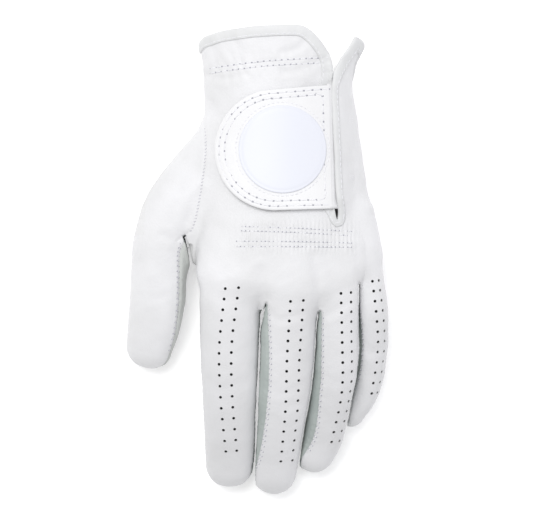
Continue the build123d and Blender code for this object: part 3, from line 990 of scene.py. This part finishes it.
# ---------------------------------------------------------------- meshes
def add_mesh(name, points, faces, materials, normals=None, picks=None, smooth=True):
    """A mesh object in metres. normals are per corner; picks is the material index of each face."""
    mesh = bpy.data.meshes.new(name)
    mesh.from_pydata((np.asarray(points) * MM).tolist(), [], faces)
    for m in materials:
        mesh.materials.append(m)
    if picks is not None:
        mesh.polygons.foreach_set("material_index", picks)
    mesh.polygons.foreach_set("use_smooth", [smooth] * len(mesh.polygons))
    if normals is not None:
        mesh.normals_split_custom_set(normals)
    mesh.update()
    piece = bpy.data.objects.new(name, mesh)
    bpy.context.scene.collection.objects.link(piece)
    return piece


def shell(name, group, outer, inner, normals, materials):
    """A closed piece of leather from a group of faces: outer faces, inner faces and rims."""
    used = sorted({i for f in group for i in f})
    index = {i: k for k, i in enumerate(used)}
    count = len(used)
    faces = [[index[i] for i in f] for f in group]
    seen = {(u, v): True for f in faces for u, v in zip(f, f[1:] + f[:1])}
    rims = [[v, u, u + count, v + count] for (u, v) in seen if (v, u) not in seen]
    inside = [[i + count for i in reversed(f)] for f in faces]
    corner = [tuple(normals[used[i]]) for f in faces for i in f]
    corner += [tuple(-normals[used[i - count]]) for f in inside for i in f]
    corner += [(0.0, 0.0, 0.0)] * (4 * len(rims))
    picks = [0] * len(faces) + [1] * len(inside) + [1] * len(rims)
    points = np.concatenate([outer[used], inner[used]])
    return add_mesh(name, points, faces + inside + rims, materials, corner, picks)


# ---------------------------------------------------------------- materials
def new_material(name, colour, roughness=0.55, sheen=0.0, specular=0.35):
    material = bpy.data.materials.new(name)
    material.use_nodes = True
    shader = material.node_tree.nodes["Principled BSDF"]
    shader.inputs["Base Color"].default_value = (*colour, 1)
    shader.inputs["Roughness"].default_value = roughness
    shader.inputs["Specular IOR Level"].default_value = specular
    shader.inputs["Sheen Weight"].default_value = sheen
    return material


def add_node(material, kind, **sockets):
    node = material.node_tree.nodes.new(kind)
    for key, value in sockets.items():
        node.inputs[key.replace("_", " ")].default_value = value
    return node


def link(material, source, socket, target, into):
    material.node_tree.links.new(source.outputs[socket], target.inputs[into])


def add_tone(material, low, high, scale):
    """A slow drift of colour between two tones."""
    where = add_node(material, "ShaderNodeTexCoord")
    noise = add_node(material, "ShaderNodeTexNoise", Scale=scale, Detail=3.0)
    ramp = add_node(material, "ShaderNodeValToRGB")
    for element, position, colour in zip(ramp.color_ramp.elements, (0.35, 0.65), (low, high)):
        element.position, element.color = position, (*colour, 1)
    link(material, where, "Object", noise, "Vector")
    link(material, noise, "Fac", ramp, "Fac")
    link(material, ramp, "Color", material.node_tree.nodes["Principled BSDF"], "Base Color")


def add_bump(material, layers):
    """Bumps stacked from layers of (texture node kind, its settings, height in metres)."""
    where = add_node(material, "ShaderNodeTexCoord")
    last = None
    for kind, settings, height in layers:
        texture = add_node(material, kind, **settings)
        link(material, where, "Object", texture, "Vector")
        bump = add_node(material, "ShaderNodeBump", Strength=1.0, Distance=height)
        link(material, texture, "Distance" if kind.endswith("Voronoi") else "Fac", bump, "Height")
        if last:
            link(material, last, "Normal", bump, "Normal")
        last = bump
    link(material, last, "Normal", material.node_tree.nodes["Principled BSDF"], "Normal")


def leather(name, low, high, roughness=0.5, grain=1.0):
    """Leather between two tones: soft unevenness, pores and fine grain."""
    material = new_material(name, high, roughness)
    add_tone(material, low, high, 38.0)
    add_bump(material, [
        ("ShaderNodeTexNoise", {"Scale": 260.0, "Detail": 4.0, "Roughness": 0.6}, 0.00022 * grain),
        ("ShaderNodeTexVoronoi", {"Scale": 1500.0}, 0.00006 * grain),
        ("ShaderNodeTexNoise", {"Scale": 2600.0, "Detail": 2.0}, 0.00004 * grain),
    ])
    return material


def masked(material, source, socket, steps):
    """A value faded out along axes, in metres: steps are (axis, where it is gone, where it is whole)."""
    where = add_node(material, "ShaderNodeTexCoord")
    parts = add_node(material, "ShaderNodeSeparateXYZ")
    link(material, where, "Object", parts, "Vector")
    for axis, gone, whole in steps:
        mask = add_node(material, "ShaderNodeMapRange", From_Min=gone, From_Max=whole)
        mask.interpolation_type = "SMOOTHSTEP"
        link(material, parts, axis, mask, "Value")
        times = add_node(material, "ShaderNodeMath")
        times.operation = "MULTIPLY"
        link(material, source, socket, times, 0)
        link(material, mask, "Result", times, 1)
        source, socket = times, "Value"
    return source


def add_gathers(material):
    """Fine upright gathers between the rows of stitches at the knuckles."""
    shader = material.node_tree.nodes["Principled BSDF"]
    before = shader.inputs["Normal"].links[0].from_node
    where = add_node(material, "ShaderNodeTexCoord")
    wave = add_node(material, "ShaderNodeTexWave", Scale=160.0, Distortion=3.2, Detail=2.0, Detail_Scale=1.2)
    link(material, where, "Object", wave, "Vector")
    shirred = masked(material, wave, "Fac", [
        ("Y", 0.002, 0.007), ("Y", 0.022, 0.017), ("X", -0.010, -0.004), ("X", 0.050, 0.044),
    ])
    bump = add_node(material, "ShaderNodeBump", Strength=1.0, Distance=0.00015)
    link(material, shirred, "Value", bump, "Height")
    link(material, before, "Normal", bump, "Normal")
    link(material, bump, "Normal", shader, "Normal")


def add_finger_tone(material, share):
    """Darker colour along the four fingers than on the hand and the thumb."""
    shader = material.node_tree.nodes["Principled BSDF"]
    before = shader.inputs["Base Color"].links[0].from_node
    whole = add_node(material, "ShaderNodeValue")
    whole.outputs["Value"].default_value = 1.0
    along = masked(material, whole, "Value", [("Y", -0.002, -0.034), ("X", -0.036, -0.027)])
    mix = add_node(material, "ShaderNodeMixRGB", Color2=(share, share, share, 1))
    mix.blend_type = "MULTIPLY"
    link(material, along, "Value", mix, "Fac")
    link(material, before, "Color", mix, "Color1")
    link(material, mix, "Color", shader, "Base Color")


BACK = leather("cabretta_back", (0.735, 0.735, 0.745), (0.785, 0.785, 0.80))
add_gathers(BACK)
add_finger_tone(BACK, 0.91)
PALM = leather("cabretta_palm", (0.725, 0.725, 0.73), (0.775, 0.775, 0.785), 0.55, 1.3)
# The side strips are coloured far darker than the white leather: partly their own grey-green tint, partly
# painted shade of the narrow gaps between the fingers.
STRIP_PAINTED_SHADE = leather("cabretta_strip_painted_shade", (0.35, 0.39, 0.375), (0.42, 0.46, 0.445))
# The thumb's side strips are less dark: partly their own tint, partly painted shade on the thumb's side.
THUMB_STRIP_PAINTED_SHADE = leather("cabretta_thumb_strip_painted_shade", (0.56, 0.58, 0.56), (0.62, 0.64, 0.62))
FLESH = new_material("leather_flesh_side", (0.42, 0.42, 0.42), 0.95)
TAB_SKIN = leather("tab_microfibre_skin", (0.80, 0.80, 0.81), (0.83, 0.83, 0.84), 0.6, 0.7)
DISC = new_material("medallion_face", (0.76, 0.775, 0.84), 0.4, specular=0.3)
add_bump(DISC, [("ShaderNodeTexNoise", {"Scale": 900.0, "Detail": 2.0}, 0.00003)])
TAPE = leather("binding_tape_skin", (0.685, 0.69, 0.695), (0.735, 0.74, 0.745), 0.55, 0.8)
ELASTIC = new_material("elastic_weave", (0.8, 0.8, 0.8), 0.9)
LOOPS = new_material("loop_pile", (0.78, 0.78, 0.78), 1.0, sheen=0.6)
HOOKS = new_material("hook_tape", (0.75, 0.75, 0.75), 0.6)
THREAD = new_material("white_thread", (0.82, 0.82, 0.85), 0.7, sheen=0.2)
# Dark discs at the stitches' ends: painted shade standing in for the needle holes' depth.
NEEDLE_HOLE_SHADE = new_material("needle_hole_painted_shade", (0.42, 0.42, 0.47), 0.95)


# ---------------------------------------------------------------- threads
# A stitch's rings: the share of its length, the height in mm and the share of its radius.
STITCH_STATIONS = [
    (0.0, -0.32, 0.5), (0.13, 0.0, 0.9), (0.35, 0.14, 1.0),
    (0.65, 0.14, 1.0), (0.87, 0.0, 0.9), (1.0, -0.32, 0.5),
]
# The rings of a needle hole's dark disc, painted shade for the hole: the rim's foot, its lip and its
# underside, as (share of its radius, height in mm).
HOLE_RINGS = [(1.0, -0.15), (0.9, 0.03), (1.0, -0.35)]


def circle(count):
    """Cosine and sine at even turns."""
    turn = np.arange(count) * 2 * math.pi / count
    return np.stack([np.cos(turn), np.sin(turn)], 1)


def swept(first, rings, sides):
    """Quads that join rings of points, each to the next, and the two end caps. Rings are closed."""
    faces = []
    for r in range(rings - 1):
        for k in range(sides):
            a, b = first + r * sides + k, first + r * sides + (k + 1) % sides
            faces.append([a, b, b + sides, a + sides])
    last = first + (rings - 1) * sides
    faces.append([first + k for k in reversed(range(sides))])
    faces.append([last + k for k in range(sides)])
    return faces


class Threads:
    """Stitches gathered into one mesh, with dark discs at their ends as painted shade of the needle holes."""

    def __init__(self):
        self.points, self.faces, self.picks = [], [], []

    def add(self, starts, ends, normals, radius=0.2, holes=0.34):
        starts, ends, normals = (np.asarray(v, float) for v in (starts, ends, normals))
        along = unit(ends - starts)
        aside = unit(np.cross(along, normals))
        up = np.cross(aside, along)
        for p, q, w, u in zip(starts, ends, aside, up):
            first = len(self.points)
            for t, lift, wide in STITCH_STATIONS:
                middle = p + (q - p) * t + u * lift
                self.points += [middle + radius * wide * (c * w + d * u) for c, d in circle(6)]
            faces = swept(first, len(STITCH_STATIONS), 6)
            self.faces += faces
            self.picks += [0] * len(faces)
            if holes:
                for spot in (p, q):
                    self.needle_hole_painted_shade(spot + 0.04 * u, w, np.cross(u, w), u, holes)

    def needle_hole_painted_shade(self, spot, w, v, u, radius):
        """A low dark disc with a rounded lip, about the axis u: painted shade of a needle hole."""
        first, sides = len(self.points), 8
        for size, lift in HOLE_RINGS:
            self.points += [spot + radius * size * (c * w + d * v) + lift * u for c, d in circle(sides)]
        faces = []
        for s in range(sides):
            a, b = first + s, first + (s + 1) % sides
            faces.append([a, b, b + sides, a + sides])
            faces.append([b, a, a + 2 * sides, b + 2 * sides])
        faces.append([first + sides + s for s in range(sides)])
        faces.append([first + 2 * sides + s for s in reversed(range(sides))])
        self.faces += faces
        self.picks += [1] * len(faces)

    def finish(self, name):
        return add_mesh(name, self.points, self.faces, [THREAD, NEEDLE_HOLE_SHADE], picks=self.picks)


def sew_line(threads, line, pitch, length, offset=0.0, textured=True, **kind):
    """A row of stitches on the back of the hand along a line in plan."""
    spots = spaced(line, pitch)
    ahead = unit(np.gradient(spots, axis=0))
    a, normals = lay(spots - ahead * length / 2, offset, textured)
    b, _ = lay(spots + ahead * length / 2, offset, textured)
    threads.add(a, b, normals, **kind)


# ---------------------------------------------------------------- the leather
surface = build_surface()
cut_panels(surface)


def longest_loop(following):
    """The longest closed loop of open edges, as point indices."""
    best, seen = [], set()
    for start in following:
        if start in seen:
            continue
        loop, here = [], start
        while here in following and here not in seen:
            seen.add(here)
            loop.append(here)
            here = following[here]
        if len(loop) > len(best):
            best = loop
    return best


def smooth_loop(values, rounds):
    for _ in range(rounds):
        values = (np.roll(values, 1, 0) + 2 * values + np.roll(values, -1, 0)) / 4
    return values


def trace_edge():
    """The open edge of cuff and slit: distances along it, points, outward normals and inward directions."""
    loop = longest_loop(open_edges(surface.faces))
    edge = smooth_loop(surface.points[loop], 6)
    normals = smooth_loop(surface.normals()[loop], 10)
    edge, normals = (np.concatenate([v, v[:1]]) for v in (edge, normals))
    at = np.concatenate([[0], np.cumsum(np.linalg.norm(np.diff(edge, axis=0), axis=1))])
    t = np.linspace(0, at[-1], int(at[-1] / EDGE_STEP), endpoint=False)
    edge, up = (along_edge(v, t, at) for v in (edge, normals))
    up = unit(up)
    ahead = unit(np.roll(edge, -1, 0) - np.roll(edge, 1, 0))
    return t, edge, up, unit(smooth_loop(np.cross(up, ahead), 12))


def along_edge(values, t, at):
    """Rows of values, known at the distances in at, taken at the distances in t."""
    return np.stack([np.interp(t, at, values[:, k]) for k in range(values.shape[1])], 1)


EDGE_STEP = 1.0                             # pitch of the edge's samples
edge_t, EDGE, EDGE_UP, EDGE_IN = trace_edge()
panels = panel_names(surface)

# The faces round each point, and the search tree that punching needs.
AROUND = {}
for f, face in enumerate(surface.faces):
    for i in face:
        AROUND.setdefault(i, []).append(f)
TREE = KDTree(len(surface.points))
for i, point in enumerate(surface.points):
    TREE.insert(point, i)
TREE.balance()


def skin_over(digit, points):
    """Distance from the skin that a digit's holes go through: the whole glove, or behind its cut the hand."""
    if points[0, 1] >= CUTS[digit]:
        return glove_field(points)
    return np.minimum(hand_field(points), smooth_max(oval_of(digit, points), -points[:, 2], EDGE_ROUND))


for digit in COLUMNS:
    for x, y in hole_spots(digit):
        spot, normal = steady_top(x, y, lambda p: skin_over(digit, p))
        punch(surface, panels, spot, normal)
kept = [i for i, f in enumerate(surface.faces) if f is not None]
surface.faces, surface.regions = [surface.faces[i] for i in kept], [surface.regions[i] for i in kept]
panels = [panels[i] for i in kept]

# Each stall is divided half way between its base joint and its middle joint.
SPLITS = {n: (joint_point(f"{n}_base")[1] + joint_point(f"{n}_middle")[1]) / 2 for n in DIGITS}


def split_stalls(panels):
    """Cuts each digit's faces at its dividing plane; returns the panel and the part of every face."""
    height = np.full(len(surface.points), -FAR)
    for name in DIGITS:
        mine = in_reach(name, surface.points) & (surface.points[:, 1] < CUTS[name])
        height[mine] = surface.points[mine, 1] - SPLITS[name]
    tagged = Surface()
    tagged.points, tagged.faces = surface.points, surface.faces
    tagged.regions = list(zip(surface.regions, panels))
    clip(tagged, height, np.abs(height) < SPLIT_REACH)
    surface.points, surface.faces = tagged.points, tagged.faces
    surface.regions, panels = ([tag[k] for tag in tagged.regions] for k in (0, 1))
    parts = []
    for face, region in zip(surface.faces, surface.regions):
        y = surface.points[face].mean(0)[1]
        parts.append("hand" if region == "hand" else region + ("_base" if y > SPLITS[region] else "_tip"))
    return panels, parts


panels, parts = split_stalls(panels)
normals = surface.normals()
lift = relief(surface.points, normals) + seam_relief(surface.points)
outer = surface.points + normals * lift[:, None]
outer[:, 2] = np.maximum(outer[:, 2], TABLE_GAP)
shaped = Surface()
shaped.points = outer
inner = outer - shaped.normals(surface.faces) * LEATHER
families = {}
for face, panel, part, region in zip(surface.faces, panels, parts, surface.regions):
    if part == "hand" and panel.startswith("strip"):
        panel = "strips"
    families.setdefault((region, panel), {}).setdefault(part, []).append(face)
# By a word in the panel's name: its leather and its slot.
LEATHERS = {
    "back": (BACK, "back_leather"), "palm": (PALM, "palm_leather"), "strip": (STRIP_PAINTED_SHADE, "side_strip_leather"),
}
SIDE_NAMES = {"strip_left": "fourchette_thumb_side", "strip_right": "fourchette_little_side"}
HAND_NAMES = {"back": "back_of_hand", "strips": "side_strip_roots"}


def carry(piece):
    """Bakes the placement of a piece of a digit into its mesh."""
    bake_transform(piece)


for (region, panel), by_part in families.items():
    normals = shaped.normals([f for faces in by_part.values() for f in faces])
    skin, slot = next(v for word, v in LEATHERS.items() if word in panel)
    # the thumb's side strips take the lighter painted shade
    if region == "thumb" and panel in SIDE_NAMES:
        skin = THUMB_STRIP_PAINTED_SHADE
    for part, faces in by_part.items():
        if part == "hand":
            name = HAND_NAMES.get(panel, panel)
        else:
            end = "lower" if part.endswith("_base") else "upper"
            name = f"{region}_{SIDE_NAMES.get(panel, panel)}_{end}"
        piece = shell(f"{name}_leather", faces, outer, inner, normals, [skin, FLESH])
        if part == "hand":
            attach(piece, "hand")
        else:
            carry(piece)
        if name in frame["nodes"]:
            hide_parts(name)


# ---------------------------------------------------------------- seams' threads
def sew_seams():
    """The small stitches that show in the seams, by the part of the glove that they belong to."""
    sewn = {}
    pitch, width = 2.5, 1.0
    for name, seams in SEAMS.items():
        line = LINES[name]
        for side, stations in seams:
            if side in ("palm", "palm_left"):
                continue
            ys = np.arange(seam_starts(name, side) - 1.0, line.centre[-1, 1] + 2.0, -pitch)
            angles = hermite(ys, *zip(*stations))
            degrees_per_mm = 57.3 / (np.interp(-ys, -line.centre[:, 1], line.a) + 1)
            half = width / 2 * degrees_per_mm
            if side == "back_left":
                angles = angles + 1.0 * degrees_per_mm
            elif name == "thumb" and side == "back":
                angles = angles - 1.0 * degrees_per_mm
            a, normals = around(name, ys, angles - half)
            b, _ = around(name, ys - 0.3, angles + half)
            spans = [("hand", CUTS[name], FAR), (f"{name}_base", SPLITS[name], CUTS[name]),
                     (f"{name}_tip", -2 * FAR, SPLITS[name])]
            for part, low, high in spans:
                mine = (ys > low) & (ys <= high)
                if mine.any():
                    threads = sewn.setdefault(part, Threads())
                    threads.add(a[mine], b[mine], normals[mine], radius=0.2, holes=0.4)
    return sewn


sewn = sew_seams()
thumb_seam = spaced(THUMB_SEAM_LINE, 1.6)
thumb_seam = thumb_seam[(thumb_seam[:, 1] < 70) & (thumb_seam[:, 1] > 14)]
ahead = np.gradient(thumb_seam, axis=0)
across = unit(np.stack([ahead[:, 1], -ahead[:, 0]], 1))
a, normals = lay(thumb_seam - across * 0.25, 0.0, True)
b, _ = lay(thumb_seam + across * 0.25 + [0, -0.3], 0.0, True)
sewn.setdefault("hand", Threads()).add(a, b, normals, radius=0.13, holes=0.26)
for row in KNUCKLE_ROWS:
    sew_line(sewn["hand"], row, 1.95, 1.75, radius=0.19, holes=0.34)
for row in WRIST_ROWS:
    sew_line(sewn["hand"], row, 2.8, 2.55, radius=0.22, holes=0.40)
for y in (68.6, 41.3):                      # bar tacks on the flap, beside the tab
    for k in range(3):
        sew_line(sewn["hand"], [(39.0, y - 0.7 * k), (45.5, y - 0.9 * k)], 1.7, 1.55, radius=0.16, holes=0.0)
for key, threads in sewn.items():
    piece = threads.finish(f"{key}_seam_threads")
    if key == "hand":
        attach(piece, "hand")
    else:
        carry(piece)


# ---------------------------------------------------------------- binding
# The tape's section, folded over the edge, as (distance in from the edge, height off the skin).
TAPE_SECTION = [
    (4.6, -0.35), (4.68, 0.15), (4.55, 0.62), (4.1, 0.82), (3.6, 0.70), (3.1, 0.82), (2.0, 0.86),
    (1.0, 0.84), (0.2, 0.66), (-0.4, 0.34), (-0.62, -0.2), (-0.5, -0.75), (-0.1, -1.0), (0.8, -1.08),
    (2.4, -1.10), (4.2, -1.08), (4.6, -0.9),
]
TAPE_PITCH, TAPE_STITCH = 2.7, 1.2          # pitch of the binding's stitches, and half the length of one
STITCH_IN, STITCH_UP = 3.6, 0.66            # where they lie: in from the edge, and off the skin


def ridge(t, wave, phase=0.0):
    return np.sin(2 * math.pi * t / wave + phase)


def on_skin(points, normals):
    """Points moved onto the hand's skin, with its relief."""
    for _ in range(3):
        points = points - normals * hand_field(points)[:, None]
    return points + normals * relief(points, normals)[:, None]


def tape_width():
    """The tape's width along the edge, as a share of its width at the cuff: narrow where the flap folds."""
    x, y, top = EDGE[:, 0], EDGE[:, 1], EDGE_UP[:, 2] > 0
    beside_tab = smoothstep(y, 19.0, 24.0) * (1 - smoothstep(y, 84.0, 90.0))
    folded = smoothstep(x - strap_line(y), -0.9, -0.4) * beside_tab
    tip = smoothstep(x, 36.5, 38.5) * smoothstep(y, 88.0, 94.0) * top
    foot = (1 - smoothstep(y, 18.0, 26.0)) * top
    return smooth_loop(1 - 0.42 * np.maximum(folded, foot) + 0.2 * tip, 4)


TAPE_WIDTH = tape_width()


def sweep_binding():
    """The tape: its section swept along the closed edge, puckered by its stitches on the outside."""
    count, n = len(EDGE), len(TAPE_SECTION)
    wobble = ridge(edge_t, TAPE_PITCH) * (0.6 + 0.4 * ridge(edge_t, 31.0, 1.0))
    wobble = wobble + 0.6 * ridge(edge_t, 6.1, 2.0)
    rings = []
    for inward, height in TAPE_SECTION:
        width = TAPE_WIDTH if inward > 0 else np.ones(count)
        puffed = 0 <= inward < 4.5 and height > 0
        spots = on_skin(EDGE + EDGE_IN * (inward * width)[:, None], EDGE_UP)
        rings.append(spots + EDGE_UP * (height + 0.11 * wobble * puffed)[:, None])
    points = np.stack(rings, 1).reshape(-1, 3)
    faces = []
    for i in range(count):
        j = (i + 1) % count
        for k in range(n):
            m = (k + 1) % n
            faces.append([i * n + k, i * n + m, j * n + m, j * n + k])
    return points, faces


points, faces = sweep_binding()
piece = add_mesh("cuff_and_slit_binding_tape", points, faces, [TAPE])
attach(piece, "hand")
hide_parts("cuff_binding", "slit_binding_thumb_side", "slit_binding_little_side")

tape_threads = Threads()
middles = np.arange(0.0, edge_t[-1] - TAPE_PITCH, TAPE_PITCH)
ends = []
for half in (-TAPE_STITCH, TAPE_STITCH):
    at = (middles + half) % edge_t[-1]
    spot, up, into = (along_edge(v, at, edge_t) for v in (EDGE, EDGE_UP, EDGE_IN * TAPE_WIDTH[:, None]))
    ends.append(on_skin(spot + into * STITCH_IN, up) + up * STITCH_UP)
tape_threads.add(*ends, up, radius=0.2, holes=0.0)
piece = tape_threads.finish("binding_threads")
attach(piece, "hand")

# ---------------------------------------------------------------- the closure tab
TAB_CENTRE, TAB_RADIUS = (8.3, 52.9), 28.6
TAB_RIGHT = [(34.5, 84.0), (35.8, 25.2)]
TAB_MIDDLE = np.array([11.6, 53.6])
TAB_TOP, TAB_BOTTOM = 3.1, 1.9
TAB_ROWS = (1.9, 4.3)                       # its two rows of stitches, in from its edge
DISC_CENTRE, DISC_RADIUS = (11.9, 53.2), 20.8
RING_RADIUS, RING_STITCHES = 22.2, 62       # the ring of stitches round the patch
# The patch's face, as (distance in from its edge, height), with a groove near its rim.
DISC_FACE = [
    (0.0, 0.15), (0.02, 0.42), (0.35, 0.56), (0.9, 0.6), (1.3, 0.5),
    (1.6, 0.6), (3, 0.6), (8, 0.6), (14, 0.6), (19, 0.6),
]


def tab_outline(pitch=1.0):
    """The tab in plan: its round end, then its straight end beside the slit."""
    (x, y), turn = TAB_CENTRE, np.radians(np.linspace(90, 270, 90))
    left = [(x + TAB_RADIUS * math.cos(a), y + TAB_RADIUS * math.sin(a)) for a in turn]
    return spaced(rounded(left + [TAB_RIGHT[1], TAB_RIGHT[0], left[0]], 1.2), pitch)[:-1]


def shrink(outline, inset):
    """An outline drawn in towards the tab's middle by about an inset."""
    return TAB_MIDDLE + (outline - TAB_MIDDLE) * (1 - inset / TAB_RADIUS)


def stack_rings(rings):
    """Points and faces of a closed piece made of rings of equal length."""
    return np.concatenate(rings), swept(0, len(rings), len(rings[0]))


def tab_skin_height(xy, inset):
    """Relief of the tab's face: two sunk rows of stitches, the ring round the patch, a soft swell."""
    row = sum(np.exp(-(((inset - at) / 0.42) ** 2)) for at in TAB_ROWS)
    gap = np.linalg.norm(xy - np.array(DISC_CENTRE), axis=1)
    ring = np.exp(-(((gap - RING_RADIUS) / 0.45) ** 2))
    swell = 0.10 * np.exp(-(((inset - 2.85) / 0.6) ** 2)) + 0.05 * ripple(np.column_stack([xy, 0 * gap]), 12)
    away = smoothstep(xy[:, 0], 33.0, 30.5)
    return -0.09 * row * away - 0.10 * ring + swell * away


def plate(name, outline, top, bottom, materials, edge_round=0.3, step=1.2, relief_of=None):
    """A flat piece that follows the back of the hand, with a rounded rim."""
    insets = [0.0, 0.12 * edge_round / 0.3, 0.4 * edge_round / 0.3, 0.9]
    drops = [edge_round, edge_round * 0.45, edge_round * 0.1, 0.0]
    insets += list(np.arange(0.9 + step, TAB_RADIUS - 2.0, step))
    drops += [0.0] * (len(insets) - len(drops))
    rings = []
    for inset in (TAB_RADIUS - 3.0, 15.0, 6.0, 1.0, edge_round):
        rings.append(lay(shrink(outline, inset), bottom)[0])
    rings.append(lay(shrink(outline, 0.0), bottom + edge_round)[0])
    for inset, drop in zip(insets, drops):
        xy = shrink(outline, inset)
        extra = relief_of(xy, np.full(len(xy), inset)) if relief_of else 0.0
        rings.append(lay(xy, top - drop + extra)[0])
    points, faces = stack_rings(rings)
    return add_mesh(name, points, faces, materials)


piece = plate(
    "closure_tab_microfibre", tab_outline(0.9), TAB_TOP, TAB_BOTTOM, [TAB_SKIN], 0.45, 0.45, tab_skin_height
)
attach(piece, "tab")
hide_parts("closure_tab")


def disc_outline(radius, count=120):
    return DISC_CENTRE + radius * circle(count)


rings = [lay(disc_outline(r), TAB_TOP - 0.1)[0] for r in (2.0, 12.0, DISC_RADIUS - 0.1)]
rings += [lay(disc_outline(DISC_RADIUS - r), TAB_TOP + lift)[0] for r, lift in DISC_FACE]
points, faces = stack_rings(rings)
piece = add_mesh("tab_medallion_face", points, faces, [DISC])
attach(piece, "tab")
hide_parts("tab_medallion")

tab_threads = Threads()
for inset in TAB_ROWS:
    line = shrink(tab_outline(0.5), inset)
    keep = line[:, 0] < 32.6
    start = int(np.argmax(keep & ~np.roll(keep, 1)))
    line = np.roll(line, -start, 0)[: int(keep.sum())]
    sew_line(tab_threads, line, 4.1, 3.8, TAB_TOP - 0.09, False, radius=0.22, holes=0.44)
a, normals = lay(disc_outline(RING_RADIUS, RING_STITCHES), TAB_TOP - 0.12)
step = np.roll(a, -1, 0) - a
tab_threads.add(a + step * 0.12, a + step * 0.88, normals, radius=0.2, holes=0.0)
piece = tab_threads.finish("tab_threads")
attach(piece, "tab")

piece = plate("hook_patch_tape", shrink(tab_outline(1.6), 5.0), 1.9, 1.1, [HOOKS], 0.15, 3.0)
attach(piece, "tab")
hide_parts("hook_patch")
piece = plate("loop_patch_pile", shrink(tab_outline(1.6), 7.0), 0.9, -0.2, [LOOPS], 0.15, 3.0)
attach(piece, "hand")
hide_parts("loop_patch")

# The strap that carries the tab: from the tab's right end, down through the slit and under the flap.
# Its profile, as (distance from the slit's line, height off the skin).
STRAP = [
    (-1.4, 2.45), (-0.4, 2.45), (0.4, 2.25), (0.9, 1.9), (1.6, 1.5),
    (2.6, 1.1), (4.5, 0.2), (6.2, -0.7), (8.0, -1.35),
]
STRAP_HALF = 0.5


def strap():
    ys = np.linspace(25.2, 84.6, 40)
    profile = spaced(hermite(np.linspace(0, 8, 60), range(9), STRAP), 0.7)
    slope = unit(np.gradient(profile, axis=0))
    sides = []
    for sign in (1, -1):
        sheet = []
        for (x, level), (sx, sz) in zip(profile, slope):
            xy = np.stack([strap_line(ys) + x - sign * sz * STRAP_HALF, ys], 1)
            sheet.append(lay(xy, level + sign * sx * STRAP_HALF)[0])
        sides.append(np.stack(sheet))
    rows, n = sides[0].shape[:2]
    points = np.concatenate([sides[0].reshape(-1, 3), sides[1].reshape(-1, 3)])
    faces = []
    for i in range(rows - 1):
        for k in range(n - 1):
            a, b, c, d = i * n + k, (i + 1) * n + k, (i + 1) * n + k + 1, i * n + k + 1
            faces.append([a, b, c, d])
            faces.append([rows * n + v for v in (d, c, b, a)])
    rim = [i * n for i in range(rows)] + [(rows - 1) * n + k for k in range(1, n)]
    rim += [i * n + n - 1 for i in range(rows - 2, -1, -1)] + [k for k in range(n - 2, 0, -1)]
    for u, v in zip(rim, rim[1:] + rim[:1]):
        faces.append([v, u, u + rows * n, v + rows * n])
    return points, faces


points, faces = strap()
piece = add_mesh("tab_root_strap", points, faces, [TAB_SKIN])
start, end = lay([(37.4, 54.8)], 0.0)[0][0], lay([(33.8, 54.8)], 2.4)[0][0]
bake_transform(piece)
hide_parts("tab_root")


def tape_under(name, node, line, width):
    """A flat elastic under the leather, along a line in plan."""
    spots = spaced(line, 1.5)
    ahead = unit(np.gradient(spots, axis=0))
    aside = np.stack([-ahead[:, 1], ahead[:, 0]], 1)
    corners = [(-0.5, -1.25), (0.5, -1.25), (0.5, -1.9), (-0.5, -1.9)]
    rings = [lay(spots + aside * width * w, level)[0] for w, level in corners]
    n = len(spots)
    faces = []
    for k in range(n - 1):
        for r in range(4):
            s = (r + 1) % 4
            faces.append([r * n + k, r * n + k + 1, s * n + k + 1, s * n + k])
    faces += [[r * n for r in range(4)], [r * n + n - 1 for r in reversed(range(4))]]
    piece = add_mesh(name, np.concatenate(rings), faces, [ELASTIC], smooth=False)
    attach(piece, "hand")
    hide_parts(node)


tape_under("wrist_elastic_tape", "wrist_elastic", [(-22, 91.2), (4, 94.2), (23, 95.6)], 6.0)
tape_under("knuckle_elastic_upper_tape", "knuckle_elastic_upper", [(-6, 15.7), (20, 14.9), (43, 13.5)], 4.0)
tape_under("knuckle_elastic_lower_tape", "knuckle_elastic_lower", [(-8, 8.6), (20, 8.4), (43, 8.0)], 4.0)

# ---------------------------------------------------------------- floor, light and camera
mesh = bpy.data.meshes.new("floor")
mesh.from_pydata([(-3, -3, 0), (3, -3, 0), (3, 3, 0), (-3, 3, 0)], [], [[0, 1, 2, 3]])
floor = bpy.data.objects.new("floor", mesh)
bpy.context.scene.collection.objects.link(floor)
paper = new_material("white_paper", (0.97, 0.97, 0.97), 1.0, specular=0.0)
glow = paper.node_tree.nodes["Principled BSDF"].inputs
glow["Emission Color"].default_value, glow["Emission Strength"].default_value = (1, 1, 1, 1), 0.24
mesh.materials.append(paper)

scene = bpy.context.scene
world = bpy.data.worlds.new("studio")
world.use_nodes = True
sky = world.node_tree.nodes["Background"].inputs
sky["Color"].default_value, sky["Strength"].default_value = (1, 1, 1, 1), 0.60
scene.world = world


def area_light(name, place, size, watts, aim=(0, 0, 0.02), colour=(1, 1, 1)):
    light = bpy.data.lights.new(name, "AREA")
    light.energy, light.size, light.color = watts, size, colour
    lamp = bpy.data.objects.new(name, light)
    lamp.location = place
    lamp.rotation_euler = (Vector(place) - Vector(aim)).to_track_quat("Z", "Y").to_euler()
    scene.collection.objects.link(lamp)


area_light("key", (-0.3, 0.45, 1.2), 0.7, 9.5)
area_light("fill", (0.9, 0.2, 0.9), 0.8, 2.0, colour=(0.9, 0.9, 1.0))

SENSOR, CAMERA_HEIGHT = 36.0, 1.2
VIEW_WIDTH, VIEW_LEVEL = 0.2558, 0.02       # width in view, in metres, and the height where it holds
camera_data = bpy.data.cameras.new("camera")
camera_data.sensor_width = SENSOR
camera_data.lens = SENSOR * (CAMERA_HEIGHT - VIEW_LEVEL) / VIEW_WIDTH
camera = bpy.data.objects.new("camera", camera_data)
camera.location = (0.00432, -0.00192, CAMERA_HEIGHT)
scene.collection.objects.link(camera)
scene.camera = camera
scene.view_settings.view_transform = "Standard"
